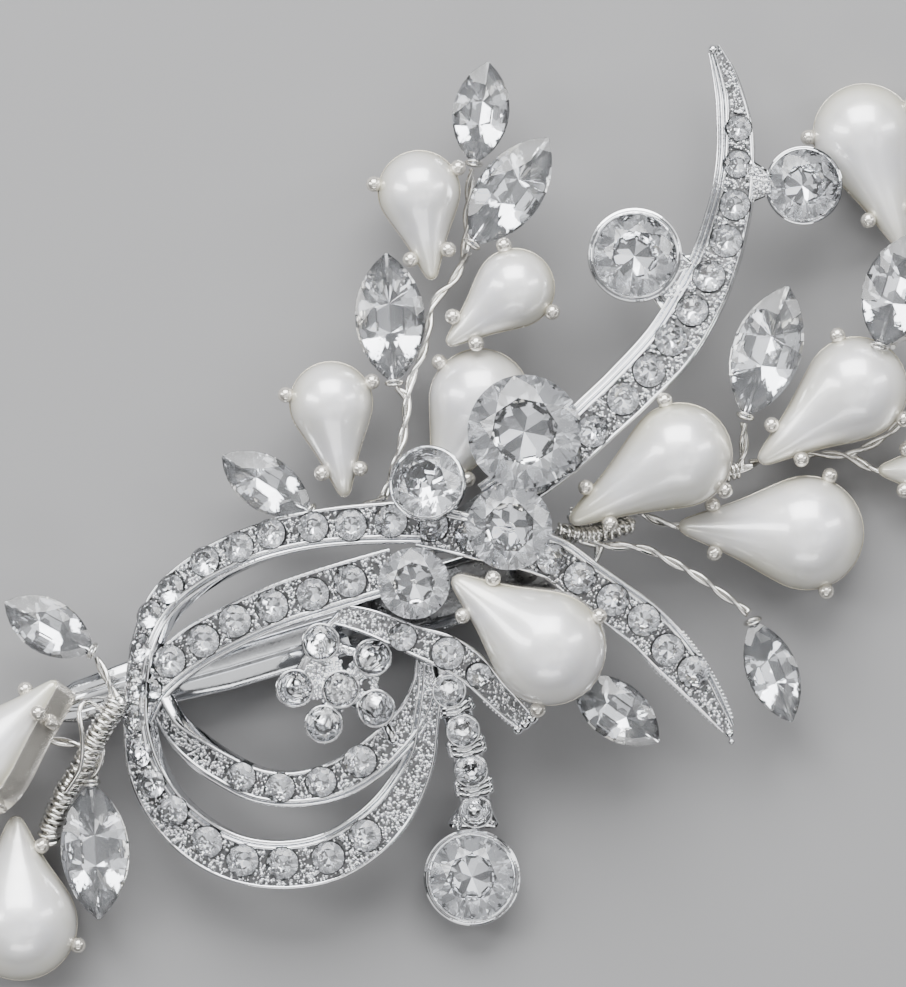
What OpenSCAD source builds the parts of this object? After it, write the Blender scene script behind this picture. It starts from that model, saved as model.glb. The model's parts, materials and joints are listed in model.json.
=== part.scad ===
// Bridal hair clip: a cast ribbon bow set with crystals, sprays of pear pearls and navette
// crystals on twisted wire, and a sprung alligator clip that carries them.
// The clip lies on its back. +Z faces the viewer, +Y is the top of the bow and Z = 0 is the
// surface it lies on.

/* [Bow casting] */
// Thickness of the ribbon under its channel
ribbon_t = 0.9; // [0.7:0.1:1.2]
// Height of the raised rims beside the channel
rim_h = 0.7; // [0.4:0.1:0.8]
// Width of each raised rim
rim_w = 0.55; // [0.4:0.05:0.7]
// Radius of a small cup in the flower cluster
petal_r = 1.75; // [1.5:0.05:1.9]
// Width of the plate that is glued to the clip
seat_w = 4.8; // [4:0.2:6]

/* [Round crystals] */
// Clearance between a crystal and its cup
seat_gap = 0.12; // [0.1:0.01:0.16]
// Wall of a cup in the middle of the bow
cup_wall = 0.4; // [0.3:0.05:0.5]
// Wall of the drop's bezel
drop_wall = 0.7; // [0.5:0.05:0.8]
// Depth of a crystal's point, as a share of its radius
pavilion_share = 0.75; // [0.7:0.01:0.78]
// Height of a crystal's crown, as a share of its radius
crown_share = 0.3; // [0.2:0.02:0.36]

/* [Navette crystals] */
// Height of a navette's crown
navette_crown = 1.5; // [1:0.1:2]
// Depth of a navette's keel
navette_keel = 2.1; // [1.6:0.1:2.3]

/* [Pearls] */
// Depth of the metal cup behind a pearl
cup_depth = 3; // [2.6:0.1:3.2]
// How far the cup stands out round the pearl
cup_rim = 0.5; // [0.4:0.05:0.6]
// Radius of the ball on a prong
ball_r = 0.7; // [0.5:0.05:0.75]
// Radius of a prong's leg
leg_r = 0.4; // [0.3:0.05:0.45]

/* [Wire] */
// Radius of a twisted stem
wire_r = 0.5; // [0.35:0.05:0.5]
// Radius of the wound bundle on the right
bundle_r = 1; // [0.8:0.1:1]
// Radius of the wound bundle on the left
coil_r = 1.15; // [0.9:0.05:1.15]

/* [Clip] */
// Length of the jaws, from hinge pin to beak
jaw_len = 41; // [36:1:41]
// Length of the thumb lever behind the pin
thumb_len = 13; // [10:1:13]
// Width of the jaws
jaw_w = 6.4; // [6:0.2:7]
// Thickness of the sheet that the jaws are pressed from
sheet_t = 0.8; // [0.6:0.1:0.8]
// Radius of the hinge pin
pin_r = 0.75; // [0.6:0.05:0.8]
// Clearance round the hinge pin
pin_gap = 0.1; // [0.06:0.01:0.1]

/* [Hidden] */
// Shape of a pear: the larger this power is, the finer its tip
pear_power = 1.7;
// Places of the prongs along a pear, as angles of its outline
PRONG_ANGLES = [44, 125];
// How high the prongs' balls sit round the pearl
prong_rise = 14;
// Gap between a pearl's flat back and its cup
back_gap = 0.1;

// Where the hinge pin is, which way the beak points and how much it slopes down
hinge_at = [-3.3, -7.6, 5];
clip_heading = 196.6;
clip_slope = 4.5;
// Underside of the top jaw above the pin
jaw_gap = 1.9;

// Round crystals: x, y, z of the girdle, radius, cup wall, tilt, heading of the tilt
ROUNDS = [
    [4.9, 8.6, 18, 5.7, cup_wall, 0, 0],
    [3.4, -0.9, 16, 4.3, cup_wall, 0, 0],
    [-4.8, 3.5, 15.8, 3.55, cup_wall, 18, 135],
    [-6.1, -6.5, 15.4, 3.6, cup_wall, 0, 0],
    [16, 26.3, 9.8, 4.1, 0.65, 4, 60],
    [32.9, 33.3, 8.6, 3.6, 0.45, 4, 20],
    [-0.3, -36.1, cup_floor(4.2), 4.2, drop_wall, 0, 0]
];

// Pearls: x, y, z of the back under the round end, heading of the tip, rise of the tip,
// roll, length, width
PEARLS = [
    [-5.6, 32.7, 7.5, -81.6, 0, 0, 12.9, 8.1],
    [4, 23, 9.6, -140.4, 0, 0, 12.6, 7.8],
    [-14.4, 11.5, 8.2, -81.5, 0, 0, 13.5, 8.2],
    [0.5, 11.9, 7, -115.6, 0, 0, 16, 10],
    [20.5, 6.3, 10.6, -148.7, 0, 0, 17, 10.3],
    [7.3, -13, 14.9, 143.5, 0, 0, 16.4, 11.3],
    [33.3, -1.5, 5, 176.9, 0, 0, 18.4, 11.3],
    [38.2, 13, 6.6, -142.7, 0, 0, 17.2, 10.2],
    [39.1, 38.5, floor_z(10.2, 8), -71.6, 8, 0, 17.2, 10.2],
    [49.5, 4.8, floor_z(8.6, 4), 180, 4, 0, 13.2, 8.6],
    [-49, -24.5, 6.8, 48.6, 15, -55, 16, 9.6],
    [-45.7, -40.7, floor_z(11.4, 5), 92.2, 5, 0, 16.4, 11.4]
];

// Navettes: x, y, z of the girdle, heading, length, width
NAVETTES = [
    [0.6, 40.6, 6.4, 82, 10.4, 5.7],
    [3.5, 32.7, 9.4, 54.3, 13.2, 6.6],
    [-8.5, 20, 9, 93.5, 13.2, 7],
    [-20.9, 3.4, 7.2, -31.9, 10.6, 5.5],
    [-42.7, -10.9, 7.4, -29, 10.2, 5.5],
    [-38.1, -33.4, 5.6, 93.3, 13.9, 6.9],
    [29.2, 16.7, 8.2, 71.6, 13.9, 7],
    [42.2, 22.8, 9.6, 73, 12, 6.8],
    [14.2, -19.3, 7, -36.1, 10.6, 5.8],
    [29.8, -15.4, 6.2, -68.8, 11, 5.2]
];

// Ribbons of the bow: x, y, z of the rims' middle, width, roll about the way along
RIBBON_TOP = [
    [23.9, 47.2, 7.6, 0.9, 0], [24.9, 44.6, 8, 2.4, 0], [25.5, 42.3, 8.3, 3, 0],
    [25.9, 39.6, 8.6, 3.6, 5], [26, 36.3, 8.8, 3.9, 8], [25.7, 32.8, 9.1, 4.3, 10],
    [24.9, 29.2, 9.4, 4.7, 10], [23.8, 25.6, 9.8, 5, 10], [22.1, 21.8, 10.3, 5.4, 8],
    [19.3, 17.2, 11, 5.5, 5], [15.3, 12.9, 11.9, 5.3, 0], [12, 9.8, 12.7, 5.2, 0],
    [8.5, 6.5, 13.3, 5, 0], [5, 3.8, 13.5, 4.8, 0], [1.5, 1.4, 13.5, 4.6, 0],
    [-2, -0.8, 13.4, 4.4, 0]
];
RIBBON_TAIL = [
    [5, -2.4, 13.4, 4.4, 0], [7.9, -4.1, 12.5, 4.5, 0], [10.6, -6.1, 11.4, 4.6, 0],
    [13.8, -8.4, 10.9, 4.7, 0], [16.9, -10.7, 10.4, 4.7, 0], [19.6, -13.5, 9.9, 4.6, 0],
    [22, -16.3, 9.2, 3.9, 0], [23.9, -18.9, 8.6, 2.8, 0], [25.7, -21.6, 8.1, 1.2, 0]
];
RIBBON_OUTER = [
    [-5.5, -0.4, 13.4, 4.4, 0], [-11, -0.6, 12.6, 4.1, 0], [-16.6, -1.2, 11.8, 3.9, 0],
    [-21.4, -2.3, 11, 3.8, 10], [-25.4, -3.9, 10.2, 3.8, 20], [-28.4, -5.6, 9.5, 3.9, 32],
    [-30.9, -7.7, 8.9, 4, 45], [-32.6, -10.2, 8.5, 4, 60], [-33.7, -13.4, 8.1, 4, 75],
    [-34.2, -17.2, 7.9, 4, 80], [-34.2, -21.2, 7.5, 4.1, 68], [-33.3, -25.3, 7.2, 4.3, 45],
    [-31.2, -29.1, 7.3, 4.5, 28], [-28, -32.1, 7.4, 4.7, 15], [-24.2, -34.1, 7.6, 4.8, 8],
    [-19.8, -34.8, 7.9, 4.9, 5], [-15.3, -34.2, 8.3, 5, 3], [-11.6, -32.3, 8.8, 4.9, 0],
    [-8.7, -29.7, 9.4, 4.5, 0], [-6.8, -26.8, 10, 3.9, 0], [-5.5, -23.8, 10.7, 3.2, 0],
    [-5, -20.8, 11.4, 2.8, 0], [-4.6, -17.6, 12.2, 2.6, 0]
];
RIBBON_INNER_TOP = [
    [-8, -5.2, 13.4, 4.6, 0], [-12.3, -6.4, 13, 4.6, 0], [-16.2, -7.6, 12.4, 4.6, 0],
    [-20.3, -9, 11.8, 4.5, 0], [-24, -10.7, 11.2, 4.4, 0], [-27.6, -12.6, 10.5, 4.4, 5],
    [-30.4, -14.8, 9.9, 4, 10], [-32.2, -17.3, 9.4, 3, 15], [-33.1, -20.4, 9, 1.4, 15]
];
RIBBON_INNER_LOW = [
    [-32.2, -18.6, 8.3, 3.4, 60], [-30.6, -21.4, 8.3, 3.4, 50], [-28, -23.6, 8.5, 3.6, 30],
    [-25.1, -25.4, 8.8, 3.6, 20], [-21.7, -26.9, 9.1, 3.6, 12], [-18, -27.2, 9.5, 3.6, 5],
    [-14.3, -26.4, 9.9, 3.9, 0], [-11, -24.6, 10.4, 4, 0], [-8.2, -22.2, 10.9, 3.8, 0],
    [-6, -19.6, 11.5, 3.4, 0], [-4.6, -16.8, 12.2, 3, 0]
];
RIBBON_SHORT = [
    [-10.5, -10.4, 13.2, 2.7, 0], [-6.3, -12.1, 14, 3.1, 0], [-2.6, -13.5, 14, 3.6, 0],
    [-0.2, -15.1, 13.5, 3.4, 0], [1.7, -17.1, 12.7, 2.9, 0], [3.6, -19, 11.9, 2.3, 0],
    [5, -20.4, 11.3, 0.9, 0]
];
// The stem of the drop, from the short tail down to the bezel
RIBBON_STEM = [
    [-2.9, -14.5, 13.2, 3.4, 0], [-2.4, -17.6, 12.3, 3.8, 0], [-1.3, -21.2, 10.7, 3.8, 0],
    [-0.5, -25, 8.8, 3.8, 0], [0, -28.8, 6.7, 3.6, 0], [-0.1, -31.2, 5.3, 4, 0]
];

// Flower cluster: the middle cup and its petals, x and y, and the height of their tops
FLOWER_Z = 12.4;
FLOWER_MIDDLE = [-13.4, -17.1];
FLOWER_PETALS = [[-15.4, -12.4], [-10.2, -13.9], [-9.9, -19], [-15.1, -20.6], [-18, -17]];

// Cast joints between pieces of the bow: from x, y, z to x, y, z, and their radius
CAST_JOINTS = [
    [[20.5, 24, 8.6], [22.5, 23.2, 9], 0.8],
    [[27, 33, 7.8], [29.3, 33.3, 7.4], 0.9],
    [[-0.2, -30.4, 3.2], [-0.1, -29.2, 5.4], 1],
    [[-13.4, -9.7, 11.2], [-15.2, -11.4, 11.2], 0.6],
    [[-8.8, -11.4, 12], [-9.8, -13, 11.4], 0.6],
    [[-9, -20.4, 10.9], [-8.2, -22, 9.9], 0.7],
    [[-15.2, -21.8, 10.6], [-14.6, -24.9, 9.4], 0.6]
];

// The lump behind the middle crystals: the corners of its back, and its thickness
KNOT_CORNERS = [[-5, -5, 9.6], [6, -3, 9.6], [4, 3, 10]];
knot_t = 2.8;
// The plate on the clip: where it begins along the clip, its length and thickness, the glue
// under it, and the arms that join it to the lump and to the inner band
seat_from = -12;
seat_len = 22;
seat_t = 1.3;
glue_gap = 0.15;
arm_r = 1.6;
KNOT_FOOT = [[4, -3.4, 9.4], [6, -4, 9.4]];
BAND_FOOT = [-11.6, -7, 11.2];

// Ears of the two jaws that hold the hinge pin: their thickness and inner faces
ear_t = 0.6;
ear_r = 1.9;
lower_ear_r = 1.6;
ear_in = jaw_w / 2 - ear_t;
lower_ear_in = ear_in - 0.15 - ear_t;
// The lower jaw's side view: a bent strip that meets the top jaw at the beak
LOWER_BEND = [
    [-thumb_len, -5], [-3, -3.3], [4, -3.4], [0.34 * jaw_len, -3.25],
    [0.63 * jaw_len, -2], [jaw_len - 3, 0.2], [jaw_len, 1.3]
];
// The spring: radius of its wound body, and of its wire
spring_r = 1.55;
spring_wire_r = 0.25;

// Wire stems, as points along their middles
WIRE_TOP = [
    [-9, 2.3, 10.2], [-7.9, 5.5, 10], [-7.1, 8.6, 9.6], [-6.7, 12.1, 9], [-6.4, 13.8, 8.6],
    [-5, 17.3, 7.8], [-4.2, 21.4, 7], [-2.3, 23.6, 6.3], [-1.2, 25.8, 6], [-0.8, 29, 5.8],
    [-0.7, 31.5, 5.7], [-0.3, 35, 6]
];
WIRE_TOP_SIDE = [[-1.2, 25.8, 6], [-0.8, 26.6, 8.7]];
WIRE_TOP_LEFT = [[-6.7, 12.1, 9], [-7.9, 13, 9]];
WIRE_BEHIND_BOW = [[-9, 2.3, 10.2], [-10.5, 1.4, 8.4], [-13, 0.5, 6.3], [-15.8, 0.3, 6.8]];
WIRE_LOW = [
    [8.6, -1.6, 9.2], [12.5, -2.7, 8.6], [16.5, -3, 7.9], [19.5, -4.3, 7.3],
    [22.5, -6, 6.9], [25, -7.8, 6.6], [26.6, -8.9, 6.4], [27.4, -9.6, 6.3]
];
WIRE_LOW_SIDE = [[12.5, -2.7, 8.6], [11.7, -6.5, 8.4], [10.9, -11, 8], [9.8, -15.6, 7.3]];
WIRE_RIGHT = [
    [9.5, 0.2, 9], [11.5, 0.1, 8], [14, 0.4, 6.6], [18, 1.8, 6.2], [22, 3.4, 6.1],
    [26.4, 4.9, 6]
];
WIRE_PEARL_7 = [[15.6, 0.9, 6.3], [18, -0.2, 5.2], [19.6, -0.7, 4.6]];
WIRE_PEARL_8 = [[26.4, 4.9, 6], [27.8, 5.2, 6]];
WIRE_NAVETTE_7 = [[26.4, 4.9, 6], [26.9, 7, 7.4], [26.9, 9.5, 8.1]];
WIRE_PEARL_10 = [
    [27.6, 5.4, 4.6], [29.4, 5.9, 3.2], [33, 6.4, 2.6], [37.3, 6.2, 2.7], [39.9, 4.9, 3.4]
];
WIRE_PEARL_9 = [
    [37.3, 6.2, 2.7], [41.4, 8.4, 2.6], [44.2, 12, 2.7], [45, 16, 3.4], [44.2, 19.5, 4.6],
    [43.4, 23, 5.3], [43.2, 26.1, 5.2]
];
WIRE_NAVETTE_8 = [[44.6, 18.2, 4], [43.1, 18.2, 6.6], [41.7, 17.3, 8.9]];
WIRE_LEFT = [
    [-35.8, -18.2, 7.8], [-36.3, -19.4, 7.6], [-37.5, -21.2, 7.2], [-39.2, -24.5, 6.2],
    [-41.2, -27.8, 5], [-42.5, -30.9, 4.1], [-42.6, -32.4, 3.7]
];
WIRE_NAVETTE_5 = [[-36, -18, 7.8], [-37, -15.8, 7.7], [-37.9, -14, 7.5]];
WIRE_NAVETTE_6 = [[-37.5, -21.2, 7.2], [-37.4, -23.6, 6.4], [-37.6, -25.7, 5.4]];
WIRE_PEARL_11 = [[-38.4, -22.9, 6.7], [-42.4, -22.3, 6]];

function count(name, n) = [for (i = [1 : n]) str(name, "_", i)];

function unit(v) = v / norm(v);
function xyz(row) = [row[0], row[1], row[2]];

// How deep a cup reaches below the girdle of its crystal
function cup_floor(r) = pavilion_share * r + 0.7;

// Height of a pearl's back at which its cup just rests on the surface
function floor_z(width, rise) =
    let (flat = sqrt(pow(width / 2 + cup_rim, 2) - pow(cup_depth, 2)))
    (cup_depth + back_gap) * cos(rise) + flat * sin(rise);

// A smooth line through rows of numbers
function between(a, b, c, d, t) =
    (2 * b + (c - a) * t + (2 * a - 5 * b + 4 * c - d) * t * t + (3 * b - a - 3 * c + d) * t * t * t) / 2;
function smooth(rows, steps) =
    let (last = len(rows) - 1)
    concat(
        [for (i = [0 : last - 1], k = [0 : steps - 1])
            between(rows[max(i - 1, 0)], rows[i], rows[i + 1], rows[min(i + 2, last)], k / steps)],
        [rows[last]]
    );

// The ribbon's section: a flat back, and a channel between two rims
function ribbon_section(w) =
    let (h = w / 2, rim = min(rim_w, 0.3 * w), back = ribbon_t + rim_h)
    [[-h, -back], [h, -back], [h, 0], [h - rim, 0], [h - rim, -rim_h],
     [rim - h, -rim_h], [rim - h, 0], [-h, 0]];
function way(path, i) = unit(xyz(path[min(i + 1, len(path) - 1)]) - xyz(path[max(i - 1, 0)]));
function ribbon_ring(path, i) =
    let (
        here = xyz(path[i]),
        along = way(path, i),
        side = unit(cross([0, 0, 1], along)),
        up = cross(along, side),
        roll = path[i][4],
        across = side * cos(roll) + up * sin(roll),
        out = up * cos(roll) - side * sin(roll)
    )
    [for (p = ribbon_section(path[i][3])) here + across * p[0] + out * p[1]];

module sweep(rings) {
    n = len(rings[0]);
    last = len(rings) - 1;
    sides = [for (i = [0 : last - 1], j = [0 : n - 1])
        let (k = (j + 1) % n)
        [i * n + j, (i + 1) * n + j, (i + 1) * n + k, i * n + k]];
    start = [[for (j = [0 : n - 1]) j]];
    end = [[for (j = [n - 1 : -1 : 0]) last * n + j]];
    polyhedron(points = [for (ring = rings) each ring], faces = concat(sides, start, end));
}

module ribbon(rows) {
    path = smooth(rows, 2);
    sweep([for (i = [0 : len(path) - 1]) ribbon_ring(path, i)]);
}

// Places a piece of the clip: X runs from the hinge pin to the beak
module on_clip() {
    translate(hinge_at) rotate([0, 0, clip_heading]) rotate([0, clip_slope, 0]) children();
}

module at_round(row) {
    translate(xyz(row)) rotate([0, 0, row[6]]) rotate([0, row[5], 0]) children();
}

// Places a pearl or its setting: X runs from the round end to the tip
module at_pearl(row) {
    translate(xyz(row)) rotate([0, 0, row[3]]) rotate([0, -row[4], 0]) rotate([row[5], 0, 0])
        children();
}

// A rod between two points, tapered by its rounded ends
module cast_joint(from, to, r) {
    hull() {
        translate(from) sphere(r, $fn = 8);
        translate(to) sphere(r, $fn = 8);
    }
}

// The cup of a round crystal, its girdle at Z = 0
module round_cup(r, wall) {
    rotate_extrude($fn = 24)
        polygon([[0, -cup_floor(r)], [0.45 * r, -cup_floor(r)], [r + wall, -0.25 * r],
                 [r + wall, 0.25], [0, 0.25]]);
}

// The space that a round crystal needs in the casting
module crystal_space(r) {
    rotate_extrude($fn = 24)
        polygon([[0, -pavilion_share * r - 0.2], [r + seat_gap, -0.1], [r + seat_gap, 3],
                 [0, 3]]);
}

// A small open cup that holds one pave stone
module petal_cup(at) {
    translate([at[0], at[1], FLOWER_Z - 2])
        difference() {
            cylinder(h = 2, r = petal_r, $fn = 14);
            translate([0, 0, 1.4]) cylinder(h = 1, r = petal_r - 0.35, $fn = 14);
        }
}

module post(at, height, r) {
    translate(at) cylinder(h = height, r = r, $fn = 12);
}

// What the crystals of the bow share: the lump behind them, and the plate on the clip
module knot_core() {
    hull() for (at = KNOT_CORNERS) post(at, knot_t, 2.4);
    on_clip() translate([seat_from, -seat_w / 2, jaw_gap + sheet_t + glue_gap])
        cube([seat_len, seat_w, seat_t]);
    hull() for (at = KNOT_FOOT) post(at, 1, arm_r);
    hull() {
        on_clip() post([9, 0, jaw_gap + sheet_t + 1], 0.4, arm_r);
        post(BAND_FOOT, 0.6, arm_r);
    }
}

module bow_casting() {
    color("silver") difference() {
        bow_metal();
        for (row = ROUNDS) at_round(row) crystal_space(row[3]);
    }
}

module bow_metal() {
    union() {
        for (row = ROUNDS) at_round(row) round_cup(row[3], row[4]);
        ribbon(RIBBON_TOP);
        ribbon(RIBBON_TAIL);
        ribbon(RIBBON_OUTER);
        ribbon(RIBBON_INNER_TOP);
        ribbon(RIBBON_INNER_LOW);
        ribbon(RIBBON_SHORT);
        ribbon(RIBBON_STEM);
        petal_cup(FLOWER_MIDDLE);
        for (at = FLOWER_PETALS) {
            petal_cup(at);
            cast_joint([at[0], at[1], FLOWER_Z - 1.4], concat(FLOWER_MIDDLE, FLOWER_Z - 1.4), 0.6);
        }
        for (joint = CAST_JOINTS) cast_joint(joint[0], joint[1], joint[2]);
        knot_core();
    }
}

// A foiled crystal: a pointed back, a girdle and a crown with a flat table
module round_crystal(row) {
    r = row[3];
    color("aliceblue")
        at_round(row)
            rotate_extrude($fn = 48)
                polygon([[0, -pavilion_share * r], [r, -0.1], [r, 0.1],
                         [0.58 * r, crown_share * r], [0, crown_share * r]]);
}

// The pear's outline: distance along from the middle of its round end, and radius
function pear_shape(t) = sin(t) * pow(sin(t / 2), pear_power);
function pear_point(t, length, width) =
    let (peak = pear_shape(acos(-pear_power / (2 + pear_power))))
    [(length - width) / 2 + length / 2 * cos(t), width / 2 * pear_shape(t) / peak];

// Half of a turned pear above the plane of its back
module half_pear(length, width) {
    outline = [for (t = [24 : 13 : 180]) pear_point(t, length, width)];
    rotate([90, 0, 90])
        rotate_extrude(angle = 180, $fn = 48)
            polygon(concat(
                [[0, length - width / 2 - 0.1]],
                [for (p = outline) [p[1], p[0]]],
                [[0, -width / 2]]
            ));
}

module pearl(row) {
    color("ivory") at_pearl(row) half_pear(row[6], row[7]);
}

// One claw: a ball beside the pearl on a leg that stands on the cup's edge
module prong(length, width, t, side) {
    here = pear_point(t, length, width);
    ahead = pear_point(t - 1, length, width);
    slope = (ahead[1] - here[1]) / (ahead[0] - here[0]);
    out = unit([-slope, cos(prong_rise), sin(prong_rise)]);
    ball = [here[0], here[1] * cos(prong_rise), here[1] * sin(prong_rise)] + out * (ball_r + 0.06);
    leg_down = 1.3;
    translate([ball[0], side * ball[1], ball[2]]) {
        sphere(ball_r, $fn = 24);
        translate([0, 0, -ball[2] - leg_down])
            cylinder(h = ball[2] + leg_down, r = leg_r, $fn = 24);
    }
}

module pearl_setting(row) {
    color("#c9c2b6") at_pearl(row) {
        translate([0, 0, -back_gap])
            difference() {
                mirror([0, 0, 1]) half_pear(row[6] + 2 * cup_rim, row[7] + 2 * cup_rim);
                translate([-row[7], -row[7], -cup_depth - row[7]])
                    cube([row[6] + row[7], 2 * row[7], row[7]]);
            }
        for (t = PRONG_ANGLES, side = [-1, 1]) prong(row[6], row[7], t, side);
    }
}

// A boat-shaped outline between two arcs that meet in points
function boat(length, width, n) =
    let (a = length / 2, b = width / 2, r = (a * a + b * b) / (2 * b))
    concat(
        [for (i = [0 : n - 1]) let (x = -a + length * i / n) [x, -(sqrt(r * r - x * x) - r + b)]],
        [for (i = [0 : n - 1]) let (x = a - length * i / n) [x, sqrt(r * r - x * x) - r + b]]
    );

module navette(row) {
    length = row[4];
    width = row[5];
    color("lightcyan")
        translate(xyz(row)) rotate([0, 0, row[3]])
            hull() {
                translate([0, 0, -0.15]) linear_extrude(0.3) polygon(boat(length, width, 6));
                translate([0, 0, navette_crown - 0.05])
                    linear_extrude(0.05) polygon(boat(0.62 * length, 0.5 * width, 4));
                translate([0, 0, -navette_keel])
                    linear_extrude(0.05) polygon(boat(0.5 * length, 0.06 * width, 2));
            }
}

// A wire stem along a smooth line. A branch begins inside the stem that carries it
function wire_ring(path, i, r) =
    let (along = way(path, i), side = unit(cross([0, 0, 1], along)), up = cross(along, side))
    [for (a = [0 : 45 : 315]) path[i] + r * (side * cos(a) + up * sin(a))];

module stem(points, r) {
    path = smooth(points, 2);
    sweep([for (i = [0 : len(path) - 1]) wire_ring(path, i, r)]);
}

module wire_top() {
    color("gainsboro")
        for (points = [WIRE_TOP, WIRE_TOP_SIDE, WIRE_TOP_LEFT, WIRE_BEHIND_BOW]) stem(points, wire_r);
}

module wire_right() {
    color("gainsboro") {
        stem(WIRE_RIGHT, bundle_r);
        for (points = [WIRE_PEARL_7, WIRE_PEARL_8, WIRE_NAVETTE_7]) stem(points, wire_r);
    }
}

module wire_far_right() {
    color("gainsboro")
        for (points = [WIRE_PEARL_10, WIRE_PEARL_9, WIRE_NAVETTE_8]) stem(points, wire_r);
}

module wire_low() {
    color("gainsboro")
        for (points = [WIRE_LOW, WIRE_LOW_SIDE]) stem(points, wire_r);
}

module wire_left() {
    color("gainsboro") {
        stem(WIRE_LEFT, coil_r);
        for (points = [WIRE_NAVETTE_5, WIRE_NAVETTE_6, WIRE_PEARL_11]) stem(points, wire_r);
    }
}

// The jaws' outline from above: straight at the hinge, tapered to a blunt beak
module jaw_outline() {
    h = jaw_w / 2;
    polygon([[-thumb_len, -0.8 * h], [1.5 - thumb_len, -h], [0.55 * jaw_len, -h],
             [jaw_len - 3, -0.68 * h], [jaw_len, -0.38 * h], [jaw_len, 0.38 * h],
             [jaw_len - 3, 0.68 * h], [0.55 * jaw_len, h], [1.5 - thumb_len, h],
             [-thumb_len, 0.8 * h]]);
}

// A bar along Y, round the hinge line
module round_bar(r, from, to) {
    translate([0, to, 0]) rotate([90, 0, 0]) cylinder(h = to - from, r = r, $fn = 48);
}

// An ear of a jaw: a round end at the hinge line on a foot that reaches the sheet
module ear(r, inner, foot_z, foot_h) {
    translate([-r, inner, foot_z]) cube([2 * r, ear_t, foot_h]);
    round_bar(r, inner, inner + ear_t);
}

module top_jaw() {
    color("lightgray")
        on_clip()
            difference() {
                union() {
                    translate([0, 0, jaw_gap]) linear_extrude(sheet_t) jaw_outline();
                    for (side = [0, 1]) mirror([0, side, 0]) {
                        translate([1.5 - thumb_len, ear_in, jaw_gap - 0.4])
                            cube([0.55 * jaw_len + thumb_len - 1.5, ear_t, 0.6]);
                        ear(ear_r, ear_in, 0, jaw_gap + 0.1);
                    }
                }
                round_bar(pin_r + pin_gap, -jaw_w, jaw_w);
                for (y = [-1.2, 1.2])
                    translate([4, y - 0.3, jaw_gap + sheet_t - 0.2])
                        cube([0.8 * jaw_len, 0.6, 1]);
            }
}

module lower_jaw() {
    h = sheet_t / 2;
    strip = concat(
        [for (p = LOWER_BEND) [p[0], p[1] - h]],
        [for (i = [len(LOWER_BEND) - 1 : -1 : 0]) [LOWER_BEND[i][0], LOWER_BEND[i][1] + h]]
    );
    color("lightgray")
        on_clip()
            difference() {
                union() {
                    intersection() {
                        rotate([90, 0, 0]) linear_extrude(2 * jaw_w, center = true) polygon(strip);
                        translate([0, 0, -10]) linear_extrude(20) jaw_outline();
                    }
                    for (side = [0, 1]) mirror([0, side, 0])
                        ear(lower_ear_r, lower_ear_in, -3.2, 3.2);
                }
                round_bar(pin_r + pin_gap, -jaw_w, jaw_w);
            }
}

module hinge_pin() {
    head = jaw_w / 2 + 0.07;
    color("lightgray")
        on_clip() {
            round_bar(pin_r, -head - 0.3, head + 0.3);
            round_bar(1.1, -head - 0.3, -head);
            round_bar(1.1, head, head + 0.3);
        }
}

// The spring: its wound body round the pin, and the leg that lies under the top jaw
module spring() {
    h = lower_ear_in - 0.15;
    leg = 7;
    color("dimgray")
        on_clip() {
            difference() {
                round_bar(spring_r, -h, h);
                round_bar(pin_r + 0.2, -2 * h, 2 * h);
            }
            translate([-leg, h - 0.4, spring_r - spring_wire_r]) rotate([0, 90, 0])
                cylinder(h = leg, r = spring_wire_r, $fn = 24);
        }
}

bow_casting();
for (i = [1 : len(ROUNDS)])
    round_crystal(ROUNDS[i - 1]);
for (i = [1 : len(PEARLS)]) {
    pearl(PEARLS[i - 1]);
    pearl_setting(PEARLS[i - 1]);
}
for (i = [1 : len(NAVETTES)])
    navette(NAVETTES[i - 1]);
wire_top();
wire_right();
wire_far_right();
wire_low();
wire_left();
top_jaw();
lower_jaw();
hinge_pin();
spring();
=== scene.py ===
"""A bridal hair clip: a cast ribbon bow set with crystals, sprays of pear pearls and navette
crystals on twisted wire, and a sprung alligator clip behind them."""
import json
import math
import random

import bmesh
import bpy
from bpy.props import FloatProperty, FloatVectorProperty, IntProperty, PointerProperty
from mathutils import Euler, Matrix, Vector, geometry, noise

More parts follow.
